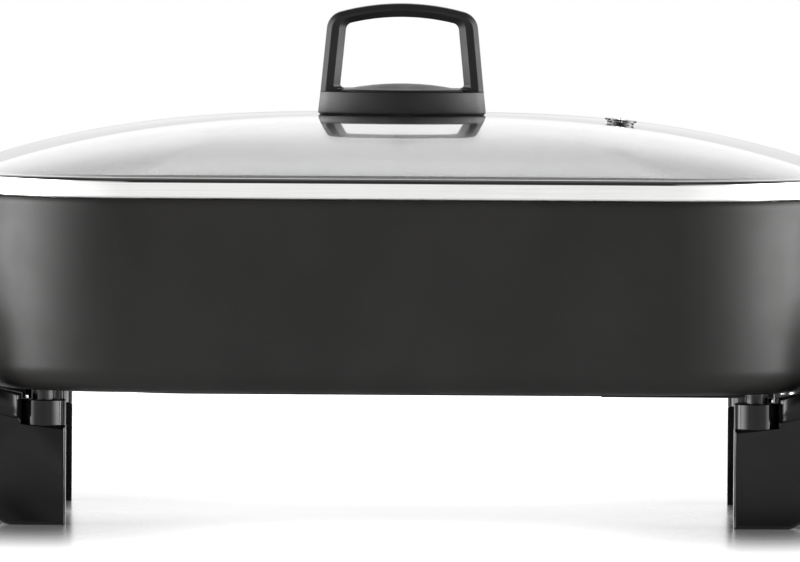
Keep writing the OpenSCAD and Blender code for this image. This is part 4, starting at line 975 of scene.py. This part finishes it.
def arm_stations():
    """Outer and inner points in plan, from an arm's root round the corner to the middle of the grip."""
    corner_x = GRIP_OUT_X - GRIP_CORNER_R
    inner_r = GRIP_CORNER_R - GRIP_T
    stations = []
    for i in range(ARM_STEPS):
        x = ARM_START_X + (corner_x - ARM_START_X) * (i / ARM_STEPS) ** ARM_CROWDING
        back = ROOT_SETBACK * (1 - min(1, (x - ARM_START_X) / ROOT_REACH)) ** 2
        stations.append((Vector((x, back - ARM_FRONT_Y)), Vector((x, -ARM_BACK_Y))))
    for i in range(GRIP_CORNER_STEPS + 1):
        way = unit(-90 + 90 * i / GRIP_CORNER_STEPS)
        outer = Vector((corner_x, GRIP_CORNER_R - ARM_FRONT_Y)) + GRIP_CORNER_R * way
        inner = Vector((corner_x, inner_r - ARM_BACK_Y)) + inner_r * way
        stations.append((outer, inner))
    for i in range(1, GRIP_STEPS + 1):
        y = 1 - i / GRIP_STEPS
        stations.append((Vector((outer.x, outer.y * y)), Vector((inner.x, inner.y * y))))
    return stations


def bar_section(outer, inner, low, high, r):
    """A rounded rectangle between two plan points and two heights."""
    t = (outer - inner).length
    way = (outer - inner) / t
    points = arc(t - r, high - r, r, r, 90, 0, 6) + arc(t - r, low + r, r, r, 0, -90, 6)
    points += arc(r, low + r, r, r, 270, 180, 6) + arc(r, high - r, r, r, 180, 90, 6)
    return [(*(inner + way * x), z) for x, z in points]


def grip_bar():
    """The two arms and the grip between them, one bar whose section swells into the grip."""
    half = []
    for outer, inner in arm_stations():
        x = (outer.x + inner.x) / 2
        low = smooth_height(ARM_LOW, x)
        high = smooth_height(ARM_TOP, x)
        swell = min(1, max(0, (x - SWELL_START_X) / (GRIP_IN_X - SWELL_START_X)))
        r = (ROOT_EDGE_MM + SWELL_EDGE_MM * swell) * MM
        half.append(bar_section(outer, inner, low, high, min(r, EDGE_SHARE * (high - low))))
    other = [[(x, -y, z) for x, y, z in row] for row in reversed(half[:-1])]
    return rounded(new_piece("bar", capped(half + other), 40), ROOT_END_R, segments=3, angle=60)


right_unit = joined("grip_unit_right", leg(-1) + leg(1) + [grip_bar()])
left_unit = mirrored(right_unit, "grip_unit_left")
for piece, node in ((right_unit, "handle_right"), (left_unit, "handle_left")):
    place(piece, "base", FINISH["gloss_black"], [node])

# ---------------------------------------------------------------- pieces that keep their CAD shape

SLOT = {row["node"]: row["material_slot"] for row in frame["record"]["subparts"]}
BODY = {node: body for body, members in frame["record"]["behaviour"]["bodies"].items() for node in members}
JOINTS = {joint["name"]: joint for joint in frame["record"]["behaviour"]["joints"]}
# Nodes that have a piece of their own here, and the edge widths of those that are copied with soft edges
STANDS_FOR = {
    "pan_body", "lid_band", "glass_lid", "lid_handle", "handle_cap", "handle_left", "handle_right",
    "trigger_spring",
}
EDGES = {
    "probe_body_upper": 1.2 * MM, "probe_body_lower": 1.2 * MM, "control_dial": 0.5 * MM,
    "release_trigger": 0.8 * MM, "inlet_shroud": 0.4 * MM, "cord_gland": 0.4 * MM,
    "vent_disc": 0.25 * MM, "vent_eyelet": 0.25 * MM,
}


def dressed(node, width, segments=3, angle=40):
    """A copy of a CAD node with its edges rounded, to stand for that node."""
    bm = bmesh.new()
    bm.from_mesh(frame["nodes"][node].data)
    bmesh.ops.remove_doubles(bm, verts=bm.verts, dist=CAD_MERGE_DIST)
    flat = math.radians(CAD_FLAT_ANGLE)
    bmesh.ops.dissolve_limit(bm, angle_limit=flat, verts=bm.verts, edges=bm.edges)
    return rounded(new_piece("fine_" + node, bm, angle), width, segments, angle)


for node, source in frame["nodes"].items():
    if node in STANDS_FOR:
        continue
    look = LOOKS.get(node, FINISH[SLOT[node]])
    if node in EDGES:
        place(dressed(node, EDGES[node]), BODY[node], look, [node])
    else:
        source.data.materials.clear()
        source.data.materials.append(look)

# ---------------------------------------------------------------- dial marks and return spring


def dial_marks():
    """Raised marks on the dial's skirt, the first one longer."""
    joint = JOINTS["dial_turn"]
    axis, centre = Vector(joint["axis"]), Vector(joint["pos_m"])
    across = Vector((0, 1, 0))
    up = axis.cross(across)
    half = MARK_W / 2
    bm = bmesh.new()
    for k in range(MARKS + 1):
        turned = unit(DIAL_SWEEP * k / MARKS)
        out = up * turned.x + across * turned.y
        side = axis.cross(out)
        start = MARK_END_R - (MARK_L if k else FIRST_MARK_L)
        outline = arc(MARK_END_R, 0, half, half, -90, 90, 6) + arc(start, 0, half, half, 90, 270, 6)
        levels = [centre + axis * (SKIRT_TOP + lift) for lift in (-MARK_H, MARK_H)]
        capped([[level + out * x + side * y for x, y in outline] for level in levels], bm)
    return rounded(new_piece("dial_marks", bm, 50), MARK_EDGE_R, segments=2, angle=50)


def return_spring():
    """The coil between the probe's body and the trigger; the trigger squeezes it up against the body, but
    here it keeps one shape.
    """
    low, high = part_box("trigger_spring")
    middle = (low + high) / 2
    coil_r = (high.y - low.y) / 2 - SPRING_WIRE_R
    foot, top = low.z + SPRING_WIRE_R, high.z - SPRING_WIRE_R
    steps = SPRING_TURN_STEPS * SPRING_TURNS
    rows = []
    for i in range(steps + 1):
        out = unit(360 * SPRING_TURNS * i / steps)
        wire = circle(coil_r, foot + (top - foot) * i / steps, SPRING_WIRE_R, 10)
        rows.append([(middle.x + out.x * r, middle.y + out.y * r, z) for r, z in wire])
    spring = new_piece("return_spring", capped(rows), 50)
    slot = SLOT["trigger_spring"]
    place(spring, BODY["trigger_spring"], FINISH[slot], ["trigger_spring"])
    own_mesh(spring)


place(dial_marks(), BODY["control_dial"], FINISH[SLOT["control_dial"]])
return_spring()

# ---------------------------------------------------------------- stage

TABLE_HALF_L = 0.5
TABLE_FRONT = 0.6
TABLE_BACK = 2.0
TABLE_COLOUR = (0.86, 0.86, 0.86, 1)
GLOW = 0.76
# Share of the painted shade round the feet that is kept when the floor is seen from above
SHADE_FROM_ABOVE = 0.5
FOOT_SHIFT = 2 * MM
FOOT_X = LEG_X + FOOT_SHIFT
MIRROR_NEAR = 0.03
MIRROR_FAR = 0.34
MIRROR_SHARE = 0.85
MIRROR_NARROW = 2.2
MIRROR_ROUGHNESS = 0.2
GRAZING = (0.45, 0.93)


def floor():
    """A white table that holds the object's shadow, with painted shade round each foot where its white glow
    is cut; seen low, it mirrors the space round each foot.
    """
    bm = bmesh.new()
    corners = ((-1, -TABLE_FRONT), (1, -TABLE_FRONT), (1, TABLE_BACK), (-1, TABLE_BACK))
    bm.faces.new([bm.verts.new((side * TABLE_HALF_L, y, 0)) for side, y in corners])
    piece = new_piece("stage_floor", bm)
    material = bpy.data.materials.new("stage_white")
    material.use_nodes = True
    nodes = Nodes(material.node_tree)
    split = nodes.add("ShaderNodeSeparateXYZ")
    nodes.link(nodes.add("ShaderNodeNewGeometry").outputs["Position"], split.inputs[0])
    across = nodes.math("SUBTRACT", nodes.math("ABSOLUTE", split.outputs[0]), FOOT_X)
    across = nodes.math("MULTIPLY", across, MIRROR_NARROW)
    deep = nodes.math("SUBTRACT", nodes.math("ABSOLUTE", split.outputs[1]), LEG_Y)
    squares = nodes.math("ADD", nodes.math("MULTIPLY", across, across), nodes.math("MULTIPLY", deep, deep))
    near = nodes.ramp(nodes.math("SQRT", squares), MIRROR_NEAR, MIRROR_FAR, 1, 0)
    facing = nodes.add("ShaderNodeLayerWeight")
    facing.inputs["Blend"].default_value = 0.5
    grazing = nodes.ramp(facing.outputs["Facing"], *GRAZING)
    matt = nodes.add("ShaderNodeBsdfDiffuse")
    matt.inputs["Color"].default_value = TABLE_COLOUR
    mirror = nodes.add("ShaderNodeBsdfGlossy")
    mirror.inputs["Color"].default_value = (1, 1, 1, 1)
    mirror.inputs["Roughness"].default_value = MIRROR_ROUGHNESS
    surface = nodes.mix_shader(nodes.product(near, grazing, MIRROR_SHARE), matt, mirror)
    # Painted shade: the eye's white glow is cut round each foot, so the floor darkens there beyond its real
    # shadow
    plain = nodes.product(near, nodes.ramp(grazing, 0, 1, SHADE_FROM_ABOVE, 1))
    glow_cut_by_painted_shade = nodes.product(nodes.math("SUBTRACT", 1.0, plain), GLOW)
    white = nodes.add("ShaderNodeEmission")
    nodes.link(nodes.product(nodes.to_eye(), glow_cut_by_painted_shade), white.inputs["Strength"])
    total = nodes.add("ShaderNodeAddShader")
    nodes.link(surface.outputs[0], total.inputs[0])
    nodes.link(white.outputs[0], total.inputs[1])
    nodes.link(total.outputs[0], nodes.add("ShaderNodeOutputMaterial").inputs["Surface"])
    piece.data.materials.append(material)


# ---------------------------------------------------------------- light

# Strengths
SIDE_LIGHT = 9.8
EDGE_FRONT = 0.3
EDGE_REST = 0.7
BACK_LIGHT = 1.13
BACK_SIDE = 0.5
BACK_EDGE = 0.6
BACK_HIGH = 0.45
TOP_LIGHT = 0.08
FLOOR_LIGHT = 0.9
FLOOR_SIDE = 1.1
DARK = 0.03
# Degrees round from the front and up from level, where a light starts and is full, then leaves off and ends
SIDE_TURN = (38, 84, 100, 120)
SIDE_LIFT = (-30, -20, 22, 36)
EDGE_FRONT_TURN = (0, 10)
EDGE_REST_TURN = (3, 42)
EDGE_END_TURN = (120, 140)
EDGE_LIFT = (-3, 1, 12, 40)
BACK_TURN = (110, 140)
BACK_LIFT = (-10, -6, 50, 66)
BACK_SIDE_TURN = (156, 178)
BACK_EDGE_LIFT = (-2, 8)
BACK_HIGH_LIFT = (19, 50)
TOP_LIFT = (62, 80)
FLOOR_LIFT = (-9, -5, -1, 1)
FLOOR_SIDE_TURN = (4, 34)
FLOOR_END_TURN = (60, 90)


def studio():
    """Lights at the sides, along the horizon, behind and above, and a dark front; the eye sees white."""
    world = bpy.data.worlds.new("studio")
    bpy.context.scene.world = world
    world.use_nodes = True
    nodes = Nodes(world.node_tree)
    split = nodes.add("ShaderNodeSeparateXYZ")
    nodes.link(nodes.add("ShaderNodeTexCoord").outputs["Generated"], split.inputs[0])
    x, y, z = split.outputs
    turn = nodes.math("ARCTAN2", nodes.math("ABSOLUTE", x), nodes.math("MULTIPLY", y, -1.0))
    turn = nodes.math("DEGREES", turn)
    lift = nodes.math("DEGREES", nodes.math("ARCSINE", z))

    def between(value, a, b, c, d):
        return nodes.product(nodes.ramp(value, a, b), nodes.ramp(value, c, d, 1, 0))

    side = nodes.product(between(turn, *SIDE_TURN), between(lift, *SIDE_LIFT))
    rest = nodes.ramp(turn, *EDGE_REST_TURN, 0, EDGE_REST)
    edge = nodes.math("MULTIPLY_ADD", nodes.ramp(turn, *EDGE_FRONT_TURN), EDGE_FRONT, rest)
    edge = nodes.product(edge, nodes.ramp(turn, *EDGE_END_TURN, 1, 0), between(lift, *EDGE_LIFT))
    back = nodes.product(
        nodes.ramp(turn, *BACK_TURN),
        between(lift, *BACK_LIFT),
        nodes.ramp(turn, *BACK_SIDE_TURN, BACK_SIDE, 1),
        nodes.ramp(lift, *BACK_EDGE_LIFT, BACK_EDGE, 1),
        nodes.ramp(lift, *BACK_HIGH_LIFT, 1, BACK_HIGH),
    )
    low = nodes.product(
        between(lift, *FLOOR_LIFT),
        nodes.ramp(turn, *FLOOR_END_TURN, 1, 0),
        nodes.ramp(turn, *FLOOR_SIDE_TURN, FLOOR_LIGHT, FLOOR_SIDE),
    )
    top = nodes.ramp(lift, *TOP_LIFT)
    total = nodes.math("ADD", nodes.math("MAXIMUM", low, edge), DARK)
    for mask, strength in ((side, SIDE_LIGHT), (back, BACK_LIGHT), (top, TOP_LIGHT)):
        total = nodes.math("MULTIPLY_ADD", mask, strength, total)
    lamp = nodes.add("ShaderNodeBackground")
    eye = nodes.add("ShaderNodeBackground")
    eye.inputs["Color"].default_value = lamp.inputs["Color"].default_value = (1, 1, 1, 1)
    nodes.link(total, lamp.inputs["Strength"])
    mix = nodes.mix_shader(nodes.to_eye(), lamp, eye)
    nodes.link(mix.outputs[0], nodes.add("ShaderNodeOutputWorld").inputs["Surface"])


# ---------------------------------------------------------------- camera

FRAME_WIDTH_PX = 800
FRONT_PX_PER_M = 2150
SENSOR_WIDTH = 36
CAMERA_DISTANCE = 11.0
CAMERA_PITCH = math.radians(2.45)
CAMERA_ROLL = math.radians(0.37)
AIM = Vector((-0.0004, -pan_high.y, 0.1165))


def camera():
    data = bpy.data.cameras.new("camera")
    data.sensor_width = SENSOR_WIDTH
    data.lens = FRONT_PX_PER_M * CAMERA_DISTANCE / FRAME_WIDTH_PX * SENSOR_WIDTH
    data.clip_start, data.clip_end = 0.5, 60
    eye = bpy.data.objects.new("camera", data)
    bpy.context.scene.collection.objects.link(eye)
    back = Vector((0, -math.cos(CAMERA_PITCH), math.sin(CAMERA_PITCH)))
    eye.location = AIM + back * CAMERA_DISTANCE
    look = (-back).to_track_quat("-Z", "Y").to_matrix()
    eye.rotation_euler = (look @ Matrix.Rotation(CAMERA_ROLL, 3, "Z")).to_euler()
    bpy.context.scene.camera = eye


floor()
studio()
camera()
bpy.context.scene.view_settings.view_transform = "Standard"
